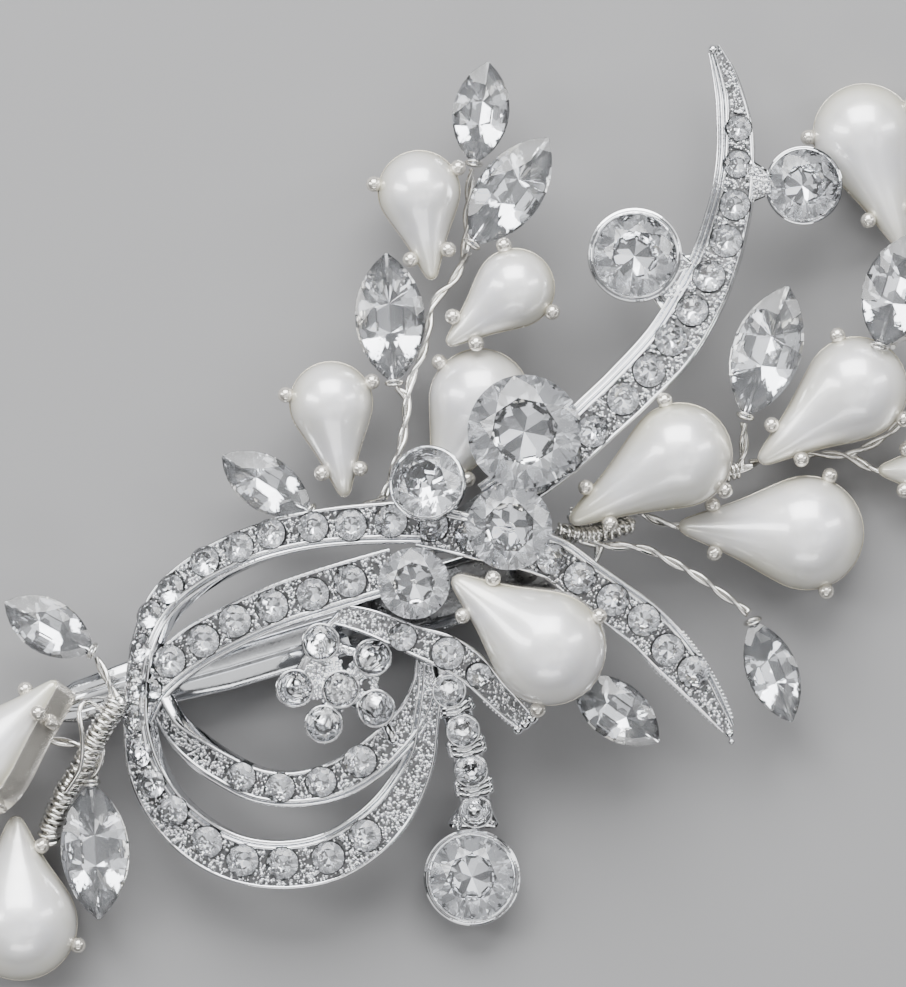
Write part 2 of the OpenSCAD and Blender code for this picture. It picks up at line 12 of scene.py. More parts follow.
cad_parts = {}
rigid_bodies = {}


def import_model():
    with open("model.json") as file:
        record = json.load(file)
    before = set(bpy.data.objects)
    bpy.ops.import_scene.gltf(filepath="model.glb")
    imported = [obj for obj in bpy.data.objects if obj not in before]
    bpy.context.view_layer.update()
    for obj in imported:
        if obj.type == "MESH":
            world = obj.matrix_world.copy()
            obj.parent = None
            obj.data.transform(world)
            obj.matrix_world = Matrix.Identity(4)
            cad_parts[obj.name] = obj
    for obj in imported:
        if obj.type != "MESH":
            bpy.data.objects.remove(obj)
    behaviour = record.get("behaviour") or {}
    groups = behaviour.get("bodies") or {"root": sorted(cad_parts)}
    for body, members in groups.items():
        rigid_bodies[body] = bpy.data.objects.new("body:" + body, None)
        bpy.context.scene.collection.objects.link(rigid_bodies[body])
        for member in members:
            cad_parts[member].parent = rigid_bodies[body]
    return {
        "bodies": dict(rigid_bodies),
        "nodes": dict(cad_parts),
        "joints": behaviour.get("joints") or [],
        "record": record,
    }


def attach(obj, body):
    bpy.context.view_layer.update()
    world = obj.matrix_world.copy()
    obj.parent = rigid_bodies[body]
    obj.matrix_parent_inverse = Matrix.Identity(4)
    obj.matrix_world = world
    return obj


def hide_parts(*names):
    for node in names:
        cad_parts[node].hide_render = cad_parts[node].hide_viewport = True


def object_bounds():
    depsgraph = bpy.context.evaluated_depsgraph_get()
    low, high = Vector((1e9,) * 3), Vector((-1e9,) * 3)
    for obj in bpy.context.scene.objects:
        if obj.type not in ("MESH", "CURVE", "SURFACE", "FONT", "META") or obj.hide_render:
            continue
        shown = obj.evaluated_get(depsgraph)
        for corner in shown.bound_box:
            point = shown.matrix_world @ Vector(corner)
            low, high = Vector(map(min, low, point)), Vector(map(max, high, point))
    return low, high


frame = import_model()
CAD_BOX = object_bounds()

bl_info = {
    "name": "Bridal Hair Clip",
    "version": (1, 0, 0),
    "blender": (4, 5, 0),
    "location": "3D View > Sidebar > Hair Clip",
    "description": "Models a cast ribbon bow with crystals and pear pearls on a hair clip",
    "category": "Object",
}

# A millimetre in the scene's metres. The values below are in millimetres and degrees where
# they say nothing else.
MM = 0.001
# The bodies of the frame
BOW = "clip_and_bow"
JAW = "lower_jaw"
# The photo's size, its pixels to a millimetre, and the pixel that shows the origin
PHOTO_SIZE = (906, 987)
PHOTO_SCALE = 10.0
PHOTO_ORIGIN = (475.0, 518.0)

# Round crystals: x, y, z of the girdle, radius, cup wall, tilt, heading of the tilt
ROUNDS = [
    (4.9, 8.6, 18, 5.7, 0.0, 0, 0),
    (3.4, -0.9, 16, 4.3, 0.0, 0, 0),
    (-4.8, 3.5, 15.8, 3.55, 0.3, 18, 135),
    (-6.1, -6.5, 15.4, 3.6, 0.0, 0, 0),
    (16, 26.3, 9.8, 4.1, 0.65, 4, 60),
    (32.9, 33.3, 8.6, 3.6, 0.32, 4, 20),
    (-0.3, -36.1, 3.85, 4.2, 0.7, 0, 0),
]

# Pearls: x, y, z of the back, heading of the tip, rise of the tip, roll, length, width
PEARLS = [
    (-5.6, 32.7, 7.5, -81.6, 0, 0, 12.9, 8.1),
    (4, 23, 9.6, -140.4, 0, 0, 12.6, 7.8),
    (-14.4, 11.5, 8.2, -81.5, 0, 0, 13.5, 8.2),
    (0.5, 11.9, 7, -115.6, 0, 0, 16, 10),
    (20.5, 6.3, 10.6, -148.7, 0, 0, 17.9, 10.3),
    (7.3, -13, 14.9, 143.5, 0, -9, 17.4, 11.3),
    (33.3, -1.5, 5, 176.9, 0, 0, 18.4, 11.3),
    (38.2, 13, 6.6, -142.7, 0, 0, 17.2, 10.2),
    (39.1, 38.5, None, -71.6, 8, 0, 17.2, 10.2),
    (49.5, 4.8, None, 180, 4, 0, 13.2, 8.6),
    (-49, -24.5, 6.8, 48.6, 15, -55, 16, 9.6),
    (-45.7, -40.7, None, 92.2, 5, 0, 16.4, 11.4),
]

# Navettes: x, y, z of the girdle, heading, length, width
NAVETTES = [
    (0.6, 40.6, 6.4, 82, 10.4, 5.7),
    (3.5, 32.7, 9.4, 54.3, 13.2, 6.6),
    (-8.5, 20, 9, 93.5, 13.2, 7),
    (-20.9, 3.4, 7.2, -31.9, 10.6, 5.5),
    (-42.7, -10.9, 7.4, -29, 10.2, 5.5),
    (-38.1, -33.4, 5.6, 93.3, 13.9, 6.9),
    (29.2, 16.7, 8.2, 71.6, 13.9, 7),
    (42.2, 22.8, 9.6, 73, 12, 6.8),
    (14.2, -19.3, 7, -36.1, 10.6, 5.8),
    (29.8, -15.4, 6.2, -68.8, 11, 5.2),
]

# Ribbons of the bow: x, y, z of the rims' middle, width, and roll about the way along if any
RIBBON_TOP = [
    (23.9, 47.2, 7.6, 1.3), (24.9, 44.6, 8, 2.4), (25.5, 42.3, 8.3, 3),
    (25.9, 39.6, 8.6, 3.6, 5), (26, 36.3, 8.8, 3.9, 8), (25.7, 32.8, 9.1, 4.3, 10),
    (24.9, 29.2, 9.4, 4.7, 10), (23.8, 25.6, 9.8, 5, 10), (22.1, 21.8, 10.3, 5.4, 8),
    (19.3, 17.2, 11, 5.5, 5), (15.3, 12.9, 11.9, 5.3), (12, 9.8, 12.7, 5.2),
    (8.5, 6.5, 13.3, 5), (5, 3.8, 13.5, 4.8), (1.5, 1.4, 12.9, 4.6),
]
RIBBON_TAIL = [
    (-5.5, -0.7, 13, 4.4), (-2.3, -1.4, 13.3, 4.4), (1.5, -2.3, 13.4, 4.4),
    (5, -3.1, 13, 4.4), (7.9, -4.1, 12.5, 4.5), (10.6, -6.1, 11.4, 4.6),
    (13.8, -8.4, 10.9, 4.7), (16.9, -10.7, 10.4, 4.7), (19.6, -13.5, 9.9, 4.6),
    (22, -16.3, 9.2, 3.9), (23.9, -18.9, 8.6, 2.8), (25.4, -21.1, 8.2, 1.5),
]
RIBBON_OUTER = [
    (-5.5, -0.4, 13.4, 4.4), (-11, -0.6, 12.6, 4.1), (-16.6, -1.2, 11.8, 3.9),
    (-21.4, -2.3, 11, 3.8, 10), (-25.4, -3.9, 10.2, 3.8, 20), (-28.4, -5.6, 9.5, 3.9, 32),
    (-30.9, -7.7, 8.9, 4, 40), (-32.6, -10.2, 8.5, 4, 50), (-33.7, -13.4, 8.1, 4, 58),
    (-34.2, -17.2, 7.9, 4, 60), (-34.2, -21.2, 7.5, 4.1, 54), (-33.3, -25.3, 7.2, 4.3, 40),
    (-31.2, -29.1, 7.3, 4.5, 28), (-28, -32.1, 7.4, 4.7, 15), (-24.2, -34.1, 7.6, 4.8, 8),
    (-19.8, -34.8, 7.9, 4.9, 5), (-15.3, -34.2, 8.3, 5, 3), (-11.6, -32.3, 8.8, 4.9),
    (-8.7, -29.7, 9.4, 4.5), (-6.8, -26.8, 10, 3.9), (-5.5, -23.8, 10.7, 3.2),
    (-5, -20.8, 11.4, 2.8), (-4.6, -17.6, 12, 2.6), (-4.5, -14.6, 12.1, 2.4),
]
RIBBON_INNER_TOP = [
    (-8, -5.2, 13.4, 4.6), (-12.3, -6.4, 13, 4.6), (-16.2, -7.6, 12.4, 4.6),
    (-20.3, -9, 11.8, 4.5), (-24, -10.7, 11.2, 4.4), (-27.6, -12.6, 10.5, 4.4, 5),
    (-30.4, -14.8, 9.9, 4, 10), (-32.2, -17.3, 9.4, 3, 15), (-33.1, -20.4, 9, 1.4, 15),
]
RIBBON_INNER_LOW = [
    (-32.2, -18.6, 8.3, 3.4, 60), (-30.6, -21.4, 8.3, 3.4, 50), (-28, -23.6, 8.5, 3.6, 30),
    (-25.1, -25.4, 8.8, 3.6, 20), (-21.7, -26.9, 9.1, 3.6, 12), (-18, -27.2, 9.5, 3.6, 5),
    (-14.3, -26.4, 9.9, 3.9), (-11, -24.6, 10.4, 4), (-8.2, -22.2, 10.9, 3.8),
    (-6, -19.6, 11.5, 3.4), (-4.9, -16.8, 12.1, 3), (-4.7, -14.2, 12.2, 2.6),
]
RIBBON_SHORT = [
    (-13.8, -9.6, 12.2, 2.2), (-10.5, -10.4, 13.2, 2.7), (-6.3, -12.1, 14, 3.1),
    (-2.6, -13.5, 14, 3.6), (-0.2, -15.1, 13.5, 3.4), (1.7, -17.1, 12.7, 2.9),
    (3.6, -19, 11.9, 2.6), (5, -20.4, 11.3, 2.2),
]
RIBBON_STEM = [
    (-2.9, -14.5, 13.2, 3.4), (-2.4, -17.6, 12.3, 3.8), (-1.3, -21.2, 10.7, 3.8),
    (-0.5, -25, 8.8, 3.8), (0, -28.8, 6.7, 3.6), (-0.1, -31.2, 5.3, 4),
]
RIBBONS = {
    "top": RIBBON_TOP, "tail": RIBBON_TAIL, "outer": RIBBON_OUTER,
    "inner_top": RIBBON_INNER_TOP, "inner_low": RIBBON_INNER_LOW, "short": RIBBON_SHORT,
}

# Width in mm of the ridged ledge outside one rim of each ribbon; the sign tells the side
LEDGES = {"top": -0.95, "tail": 0.5, "outer": 0.55, "inner_top": 0.5, "inner_low": -0.45,
          "short": 0}

# Width of one of those ridges
RIDGE_WIDTH = 0.42
# Beads between two stones: the largest gap that takes them, their distance from the rims and
# how deep they lie
BEAD_GAP = 2.4
BEAD_INSET = 0.28
BEAD_SINK = 0.12
# How far off a ribbon's middle a small stone may lie, as a share of half the width
STONE_STRAY = 0.25

# Small round stones in the channels: ribbon, then x and y in the photo and the radius in mm
CHANNEL_STONES = {
    "top": [
        (739, 128, 1.25), (738, 164, 1.35), (736, 205, 1.5), (726, 241, 1.6), (709, 276, 1.6),
        (692, 310, 1.6), (671, 340, 1.6), (649, 371, 1.6), (623, 399, 1.6), (594, 433, 1.6),
        (567, 459, 1.6), (536, 478, 1.6),
    ],
    "tail": [
        (432, 525, 1.6), (470, 536, 1.5), (552, 559, 1.55), (580, 578, 1.6), (613, 600, 1.6),
        (644, 620, 1.6), (668, 650, 1.6), (694, 672, 1.6),
    ],
    "outer": [
        (391, 521, 1.6), (351, 525, 1.55), (313, 527, 1.5), (270, 533, 1.5),
        (238, 547, 1.5), (203, 560, 1.5), (169, 589, 1.5), (148, 615, 1.4), (139, 648, 1.4),
        (134, 684, 1.4), (133, 719, 1.4), (138, 753, 1.45), (150, 784, 1.5), (172, 811, 1.55),
        (206, 843, 1.6), (242, 861, 1.6), (282, 864, 1.6), (328, 858, 1.6), (365, 836, 1.6),
    ],
    "inner_top": [
        (350, 581, 1.6), (313, 594, 1.6), (272, 606, 1.6), (235, 621, 1.6), (203, 641, 1.6),
        (169, 661, 1.6), (146, 689, 1.2),
    ],
    "inner_low": [(241, 777, 1.45), (280, 788, 1.45), (321, 782, 1.5), (360, 761, 1.6)],
    "short": [(403, 637, 1.35), (448, 653, 1.6), (479, 675, 1.25)],
}
# Stones of the drop's stem, and where its ribbed bars lie
STEM_STONES = [(449, 690, 1.55), (463, 730, 1.55), (471, 770, 1.55), (476, 812, 1.55)]
STEM_BARS = [(456, 710, 2), (467, 750, 3), (474, 791, 3)]

# Knobs at the ribbons' tips: x, y, z and radius
TIP_KNOBS = [
    (23.85, 46.9, 7.6, 0.52), (25.5, -21.6, 8.1, 0.5), (25.7, -22.4, 8, 0.34),
    (5.7, -20, 11.2, 0.62), (4.3, -21.1, 11, 0.55), (5, -20.6, 11.1, 0.6),
]
# Rows of beads along both edges at the ends of two ribbons: ribbon and share at which they start
MILGRAIN_STARTS = (("tail", 0.72), ("short", 0.76))
# Their radius, their step and how far under the rims they lie
MILGRAIN = 0.2
MILGRAIN_STEP = 0.42
MILGRAIN_SINK = 0.3
# Grainy webs between pieces of the bow: corners, rounding radius, height, number of grains
CAST_WEBS = [
    ([(27.6, 35.3, 8.6), (27.7, 32.1, 8.5), (29.3, 34.2, 8.4), (29.3, 32.8, 8.4)], 0.5, 1, 220),
    ([(19.7, 26.6, 8.8), (20.1, 24.9, 8.8), (21.2, 25.4, 9)], 0.5, 1, 40),
    ([(18.3, 22.9, 8.9), (19.3, 23.7, 8.9), (19.4, 21.6, 9.1), (20.6, 22.6, 9.2)], 0.45, 1, 60),
    ([(-1.2, -29.3, 5), (1.1, -29.3, 5), (-2.1, -30.6, 4.4), (1.8, -30.6, 4.4)], 0.55, 0.8, 240),
    ([(-13.4, -17.1, 11.3), (-15.4, -12.4, 11.3), (-18, -17, 11.3)], 0.9, 1.1, 170),
]

# The flower: height of its rims, and places of its middle and its petals
FLOWER_Z = 12.4
FLOWER_MIDDLE = (-13.4, -17.1)
FLOWER_PETALS = [(-15.4, -12.4), (-10.2, -13.9), (-9.9, -19), (-15.1, -20.6), (-18, -17)]
# A cup of the flower: radius, wall, depth, and how far it leans in radians
FLOWER_CUP = 1.95
FLOWER_WALL = 0.24
FLOWER_DEPTH = 2
FLOWER_TILT = 0.05
# How deep a stone lies in its cup, and how far its edge is from the cup's outside
FLOWER_SINK = 0.12
FLOWER_INSET = 0.17
# The bars between the cups: depth under the rims, half width at the hub and between petals,
# flatness, and number of grains on each
BAR_DEPTH = 1.2
HUB_BAR = 1.45
PETAL_BAR = 0.6
BAR_FLAT = 0.55
BAR_GRAINS = 34

# The body of the drop's stem: half width, depth of its middle and half thickness
STEM_BODY = (1.55, 1.05, 0.6)
# The stem's stones and their cups: how far above the stem's line each lies, then the cups'
# wall and depth
STEM_STONE_LIFT = 0.26
STEM_CUP_LIFT = 0.2
STEM_CUP_WALL = 0.2
STEM_CUP_DEPTH = 1.6
# Ribs across the stem: half length, radius, radius of the knobs at their ends, distance from
# each other, depth under the stem's line, fall towards their ends and how far they waver
RIB_HALF = 1.6
RIB = 0.38
RIB_KNOB = 0.46
RIB_STEP = 0.58
RIB_SINK = 0.2
RIB_FALL = 0.55
RIB_WAVE = 0.07

# Cast joints between pieces of the bow: from, to, radius
CAST_JOINTS = [
    ((19.3, 25.9, 8.4), (21.5, 26, 8.4), 0.5),
    ((17.6, 22.7, 8.4), (18.9, 21, 8.8), 0.5),
    ((-0.2, -30.4, 3.2), (-0.1, -29.2, 5.4), 1),
    ((-13.4, -9.7, 11.2), (-15.2, -11.4, 11.2), 0.6),
    ((-8.8, -11.4, 12), (-9.8, -13, 11.4), 0.6),
    ((-9, -20.4, 10.9), (-8.2, -22, 10.3), 0.7),
    ((-6.1, -6.3, 12), (-4.2, -2.6, 10.4), 0.9),
    ((-6.1, -6.3, 12), (-8.6, -5.6, 12), 0.8),
]
# How much a cast joint thins towards its middle
JOINT_WAIST = 0.2
# The lump behind the knot: its corners, its rounding and thickness
KNOT_CORNERS = [(-3.4, -2, 10.2), (5, -2, 10.4), (4, 3, 10.8)]
KNOT_ROUNDING = 1.5
KNOT_THICKNESS = 1.6
# The plate on the clip: its middle along the clip, its length, width and thickness, its
# rounding and its lift over the top jaw's sheet
PLATE_MIDDLE = -1
PLATE_SIZE = (22, 4.8, 1.3)
PLATE_ROUNDING = 0.3
PLATE_LIFT = 0.15
# Arms from the plate to the casting: foot along the clip and spot on the casting, then how
# far up the plate a foot stands, and the radius and thickness of a foot and of a head
PLATE_ARMS = ((-9, (4.6, -3.4, 10.2)), (9, (-11.6, -7, 11.4)))
ARM_RISE = 1.1
ARM_ENDS = ((1.6, 0.3), (1.4, 0.8))

# Turns of the large round crystals about their axes in degrees
TURNS = [11, 20, 40, 5, 15, 30, 0]
# The end of each navette that is tied: one for its head, minus one for its foot
TIED_ENDS = [-1, -1, -1, 1, 1, 1, -1, -1, -1, -1]
# The pearl whose cup shows its side, with folds at its claws
FOLDED_CUP = 11
# Where the claws stand along half of a pear's outline, from its tip
CLAW_SHARES = (0.19, 0.7)
# A claw's line from its root to its ball: height and distance from the pear's outline
CLAW_LINE = [(-2.5, 0.02), (-1.6, 0.14), (-0.8, 0.24), (-0.1, 0.4), (0.4, 0.55), (0.7, 0.52)]
# The pearl cups' walls from the bottom up and over the rim: height and growth of the outline
CUP_RINGS = [
    (-2.9, -0.35), (-2.8, -0.15), (-2.45, 0), (-1.3, 0.05), (-0.25, 0.12), (0, 0.14),
    (0.09, 0.1), (0.06, 0.03), (-0.1, 0),
]
# Radius of a pear's tip and how far its flanks curve in, as shares of its width
TIP_ROUNDING = 0.07
FLANK_HOLLOW = 0.018

# Cut of the round stones, as shares of their radius: girdle's half height, ring of star facets
# and ring of the back's facets
GIRDLE = 0.03
STAR_RING = 0.8
BACK_RING = 0.37
# A navette's rows of corners: number on a side, shares of the length and width, and height as a
# share of the width. Rows with no height lie on the even slope of its back.
NAVETTE_EDGE = 0.025
NAVETTE_ROWS = [
    (12, 1, 1, NAVETTE_EDGE), (12, 1, 1, -NAVETTE_EDGE), (7, 0.8, 0.76, 0.09),
    (4, 0.56, 0.46, 0.145), (6, 0.73, 0.55, None), (4, 0.6, 0, None),
]
# How much of its tips a navette keeps
NAVETTE_TIP = 0.975
# Facets that turn by less than this many degrees are one
FACET_ANGLE = 1.2
# Wire round a navette's tied end: its radius, its distance from the tip, and the lean and radius
# of its two turns
TIE_WIRE = 0.13
TIE_INSET = 0.55
TIE_TURNS = ((-0.25, 0.95), (0.2, 0.85))
# How unevenly the small stones are set: their tilt, their turn in radians and how deep they sink
STONE_TILT = 0.09
STONE_TURN = 0.8
STONE_SINK = (0.02, 0.12)
# How much the stones of the stem and of the channels lean towards the viewer
STEM_LEAN = 0.8
CHANNEL_LEAN = 0.4

# Wire stems, as points along their middles
WIRE_TOP = [
    (-9, 2.3, 10.2), (-7.9, 5.5, 10), (-7.1, 8.6, 9.6), (-6.7, 12.1, 9), (-6.4, 13.8, 8.6),
    (-5, 17.3, 7.8), (-4.2, 21.4, 7), (-2.3, 23.6, 6.3), (-1.2, 25.8, 6), (-0.8, 29, 5.8),
    (-0.7, 31.5, 5.7), (-0.3, 35, 6),
]
WIRE_TOP_SIDE = [(-1.2, 25.8, 6), (-0.8, 26.6, 8.7)]
WIRE_TOP_LEFT = [(-6.7, 12.1, 9), (-7.9, 13, 9)]
WIRE_BEHIND_BOW = [(-9, 2.3, 10.2), (-10.5, 1.4, 8.4), (-13, 0.5, 6.3), (-15.8, 0.3, 6.8)]
WIRE_LOW = [
    (8.6, -1.6, 9.2), (12.5, -2.7, 8.6), (16.5, -3, 7.9), (19.5, -4.3, 7.3),
    (22.5, -6, 6.9), (25, -7.8, 6.6), (26.6, -8.9, 6.4), (27.4, -9.6, 6.3),
]
WIRE_LOW_SIDE = [(12.5, -2.7, 8.6), (11.7, -6.5, 8.4), (10.9, -11, 8), (9.8, -15.6, 7.3)]
WIRE_GATHER = [(8.2, -1.3, 9.5), (10.4, -1.7, 8.9), (13, -1.5, 8), (15.6, -0.7, 7)]
WIRE_RIGHT = [
    (9.5, 0.2, 9), (11.5, 0.1, 8), (14, 0.4, 6.6), (18, 1.8, 6.2), (22, 3.4, 6.1),
    (26.4, 4.9, 6),
]
WIRE_PEARL_7 = [(15.6, 0.9, 6.3), (18, -0.2, 5.2), (19.6, -0.7, 4.6), (21.5, -0.9, 4.2)]
WIRE_PEARL_8 = [(26.4, 4.9, 6), (27.8, 5.2, 6)]
WIRE_NAVETTE_7 = [(26.4, 4.9, 6), (26.9, 7, 7.4), (26.9, 9.5, 8.1)]
WIRE_PEARL_10 = [
    (27.6, 5.4, 4.6), (29.4, 5.9, 3.2), (33, 6.4, 2.6), (37.3, 6.2, 2.7), (39.9, 4.9, 3.1),
    (41.5, 4.8, 3.2),
]
WIRE_PEARL_9 = [
    (37.3, 6.2, 2.7), (41.4, 8.4, 2.6), (44.2, 12, 2.7), (45, 16, 3.4), (44.2, 19.5, 4.6),
    (43.4, 23, 5.3), (43.2, 26.1, 5.2),
]
WIRE_NAVETTE_8 = [(44.6, 18.2, 4), (43.1, 18.2, 6.6), (41.7, 17.3, 8.9)]
WIRE_LEFT = [
    (-35.8, -18.2, 7.8), (-36.3, -19.4, 7.6), (-37.5, -21.2, 7.2), (-39.2, -24.5, 6.2),
    (-41.2, -27.8, 5), (-42.5, -30.9, 4.1), (-42.6, -32.4, 3.7),
]
WIRE_NAVETTE_5 = [(-36, -18, 7.8), (-37, -15.8, 7.7), (-37.9, -14, 7.5)]
WIRE_NAVETTE_6 = [(-37.5, -21.2, 7.2), (-37.5, -23.6, 6.4), (-38.2, -26.2, 5.3)]
WIRE_PEARL_11 = [(-38.4, -22.9, 6.7), (-42.4, -22.3, 6)]
WIRE_LOOP_11 = [
    (-37, -19.4, 7.4), (-38.8, -18.4, 8.2), (-39.6, -19.4, 8.8), (-39.3, -22, 9),
    (-39.5, -24.9, 8.6), (-41, -27.4, 7.4),
]
# The wire pieces: name, twisted stems, wound bundles with their radius, and single strands
STEMS = [
    ("top", [WIRE_TOP, WIRE_TOP_SIDE, WIRE_TOP_LEFT, WIRE_BEHIND_BOW], [], []),
    ("right", [WIRE_PEARL_7, WIRE_PEARL_8, WIRE_NAVETTE_7],
     [(WIRE_RIGHT, 1.0), (WIRE_GATHER, 0.95)], []),
    ("far_right", [WIRE_PEARL_10, WIRE_PEARL_9, WIRE_NAVETTE_8], [], []),
    ("low", [WIRE_LOW, WIRE_LOW_SIDE], [], []),
    ("left", [WIRE_NAVETTE_5, WIRE_NAVETTE_6, WIRE_PEARL_11], [(WIRE_LEFT, 1.25)], [WIRE_LOOP_11]),
]

# The clip: the pin's place, the heading of the beak and its slope, as in the frame
HINGE = (-3.3, -7.6, 5)
CLIP_HEADING = 196.6
CLIP_SLOPE = 4.5
JAW_LENGTH = 41.0
THUMB_LENGTH = 13.0
JAW_WIDTH = 6.4
JAW_GAP = 1.9
SHEET = 0.8
# Places along the top jaw at which its section is drawn, and where its side rails and its
# grooves lie
TOP_STATIONS = [
    -13, -12.7, -12.2, -11.5, -9, -6, -3, 0, 4, 4.4, 8, 12, 16, 20, 22.5, 24, 27, 31, 35, 38,
    39.5, 40.5, 41,
]
RAIL = 0.4
RAIL_END = 22.5
GROOVES = (4.2, 37)
# The lower jaw's course: distance from the pin and height
LOWER_BEND = [
    (-13, -5), (-3, -3.3), (4, -3.4), (13.94, -3.25), (25.83, -2), (38, 0.2), (41, 1.3),
]
# The lower jaw's teeth: their number, the place of the first and the step between them
TEETH = 9
FIRST_TOOTH = 29
TOOTH_STEP = 1.25
# The ears for the pin, on the top jaw and on the lower one: distance from the jaw's sides and
# radius, then how far over the top ears' and under the lower ears' middle their feet reach
TOP_EARS = (0.3, 1.9)
LOWER_EARS = (1.05, 1.6)
TOP_FOOT = JAW_GAP + 0.1
LOWER_FOOT = -3.2
# The pin's head from its middle outwards: radius and height over the jaw's side
PIN_HEAD = [(0, 0.3), (0.75, 0.27), (1.05, 0.14), (1.1, 0), (0.75, 0)]
# The spring: radius of its wire and its coil, half its length, its turns and its leg's length
SPRING_WIRE = 0.25
SPRING_COIL = 1.3
SPRING_HALF = 1.45
SPRING_TURNS = 6
SPRING_LEG = 7

# Soft lights: name, heading and angle from overhead in degrees, distance, width and height in
# metres, and share of the key's power
LIGHTS = [
    ("key", 95, 50, 0.72, (0.7, 0.5), 1.0),
    ("left", 165, 56, 0.7, (0.16, 0.5), 0.22),
    ("right", 20, 60, 0.7, (0.12, 0.4), 0.1),
    ("low", 272, 52, 0.7, (0.5, 0.14), 0.08),
]
# The room's walls from the floor up to overhead: height as a share and grey
ROOM_STOPS = [
    (0.0, 0.05), (0.3, 0.025), (0.66, 0.025), (0.72, 0.95), (0.95, 0.95), (0.98, 0.3),
]
# Grey that the camera sees beyond the floor
ROOM_GREY = (0.45, 0.45, 0.46)
FULL_TURN = 2 * math.pi


# Sizes and colours

class BowSettings(bpy.types.PropertyGroup):
    rim: FloatProperty(name="Rim width", description="Width of a ribbon's polished rim",
                       default=0.42 * MM, unit="LENGTH")
    channel: FloatProperty(name="Channel depth", description="Depth of the channel",
                           default=0.42 * MM, unit="LENGTH")
    thickness: FloatProperty(name="Thickness", description="Thickness of a ribbon at its rims",
                             default=1.6 * MM, unit="LENGTH")
    seat: FloatProperty(name="Seat depth", description="Depth of the seats for the small stones",
                        default=1.4 * MM, unit="LENGTH")
    gap: FloatProperty(name="Seat gap", description="Gap between a small stone and its seat",
                       default=0.11 * MM, unit="LENGTH")
    grain: FloatProperty(name="Grain size", description="Radius of a grain in the channel",
                         default=0.2 * MM, unit="LENGTH")
    bead: FloatProperty(name="Bead size", description="Radius of a bead between two stones",
                        default=0.33 * MM, unit="LENGTH")
    spacing: FloatProperty(name="Grain spacing", description="Distance between grains",
                           default=0.27 * MM, unit="LENGTH")
    colour: FloatVectorProperty(name="Colour", description="Colour of the plated casting",
                                default=(0.86, 0.87, 0.89), subtype="COLOR")


class CrystalSettings(bpy.types.PropertyGroup):
    table: FloatProperty(name="Table", description="Radius of the table, as a share of the stone",
                         default=0.6, subtype="FACTOR")
    crown: FloatProperty(name="Crown", description="Height of the crown, as a share of the radius",
                         default=0.3, subtype="FACTOR")
    pavilion: FloatProperty(name="Pavilion", default=0.79, subtype="FACTOR",
                            description="Depth of the point, as a share of the radius")
    ior: FloatProperty(name="Refractive index", description="Refractive index of the glass",
                       default=1.56)
    glass: FloatVectorProperty(name="Glass colour", description="Colour of the glass",
                               default=(0.985, 0.99, 1.0), subtype="COLOR")
    foil: FloatVectorProperty(name="Foil colour", description="Colour of the foil on the back",
                              default=(0.9, 0.91, 0.93), subtype="COLOR")


class PearlSettings(bpy.types.PropertyGroup):
    body: FloatVectorProperty(name="Body colour", description="Colour of the pearl's body",
                              default=(0.98, 0.98, 0.97), subtype="COLOR")
    # Colour of the painted shade, warm and darker, towards a pearl's edge
    tint: FloatVectorProperty(name="Edge tint", description="Warm tint towards the pearl's edge",
                              default=(0.6, 0.57, 0.39), subtype="COLOR")
    segments: IntProperty(name="Segments", description="Steps round a pearl", default=40)
    ball: FloatProperty(name="Claw ball", description="Radius of the ball on a claw",
                        default=0.8 * MM, unit="LENGTH")
    leg: FloatProperty(name="Claw leg", description="Radius of a claw's leg",
                       default=0.36 * MM, unit="LENGTH")
    cup: FloatVectorProperty(name="Cup colour", description="Colour of the metal cups",
                             default=(0.78, 0.75, 0.69), subtype="COLOR")


class WireSettings(bpy.types.PropertyGroup):
    strand: FloatProperty(name="Strand", description="Radius of one strand of the twisted wire",
                          default=0.25 * MM, unit="LENGTH")
    pitch: FloatProperty(name="Pitch", description="Length of one full twist",
                         default=6.0 * MM, unit="LENGTH")
    wound: FloatProperty(name="Winding", description="Radius of the wire wound round a bundle",
                         default=0.22 * MM, unit="LENGTH")
    turns: FloatProperty(name="Turn spacing", description="Distance between two wound turns",
                         default=0.6 * MM, unit="LENGTH")
    colour: FloatVectorProperty(name="Colour", description="Colour of the wire",
                                default=(0.8, 0.79, 0.76), subtype="COLOR")


class ClipSettings(bpy.types.PropertyGroup):
    groove: FloatProperty(name="Groove depth", description="Depth of the grooves along the jaw",
                          default=0.24 * MM, unit="LENGTH")
    tooth: FloatProperty(name="Tooth", description="Height of the lower jaw's teeth",
                         default=0.5 * MM, unit="LENGTH")
    colour: FloatVectorProperty(name="Colour", description="Colour of the plated steel",
                                default=(0.62, 0.63, 0.65), subtype="COLOR")


class StageSettings(bpy.types.PropertyGroup):
    floor: FloatVectorProperty(name="Floor", description="Colour of the floor",
                               default=(0.29, 0.29, 0.295), subtype="COLOR")
    key: FloatProperty(name="Key light", description="Power of the key light",
                       default=12.0, unit="POWER")
    distance: FloatProperty(name="Camera distance", description="Distance of the camera",
                            default=1.5, unit="LENGTH")


# Shared steps

def mm(*values):
    return Vector(values) * MM


def at(*spot):
    return Matrix.Translation(mm(*spot))


def turned(degrees, axis):
    return Matrix.Rotation(math.radians(degrees), 4, axis)


def clip_matrix():
    return at(*HINGE) @ turned(CLIP_HEADING, "Z") @ turned(CLIP_SLOPE, "Y")


def from_photo(px, py):
    return (px - PHOTO_ORIGIN[0]) / PHOTO_SCALE, (PHOTO_ORIGIN[1] - py) / PHOTO_SCALE


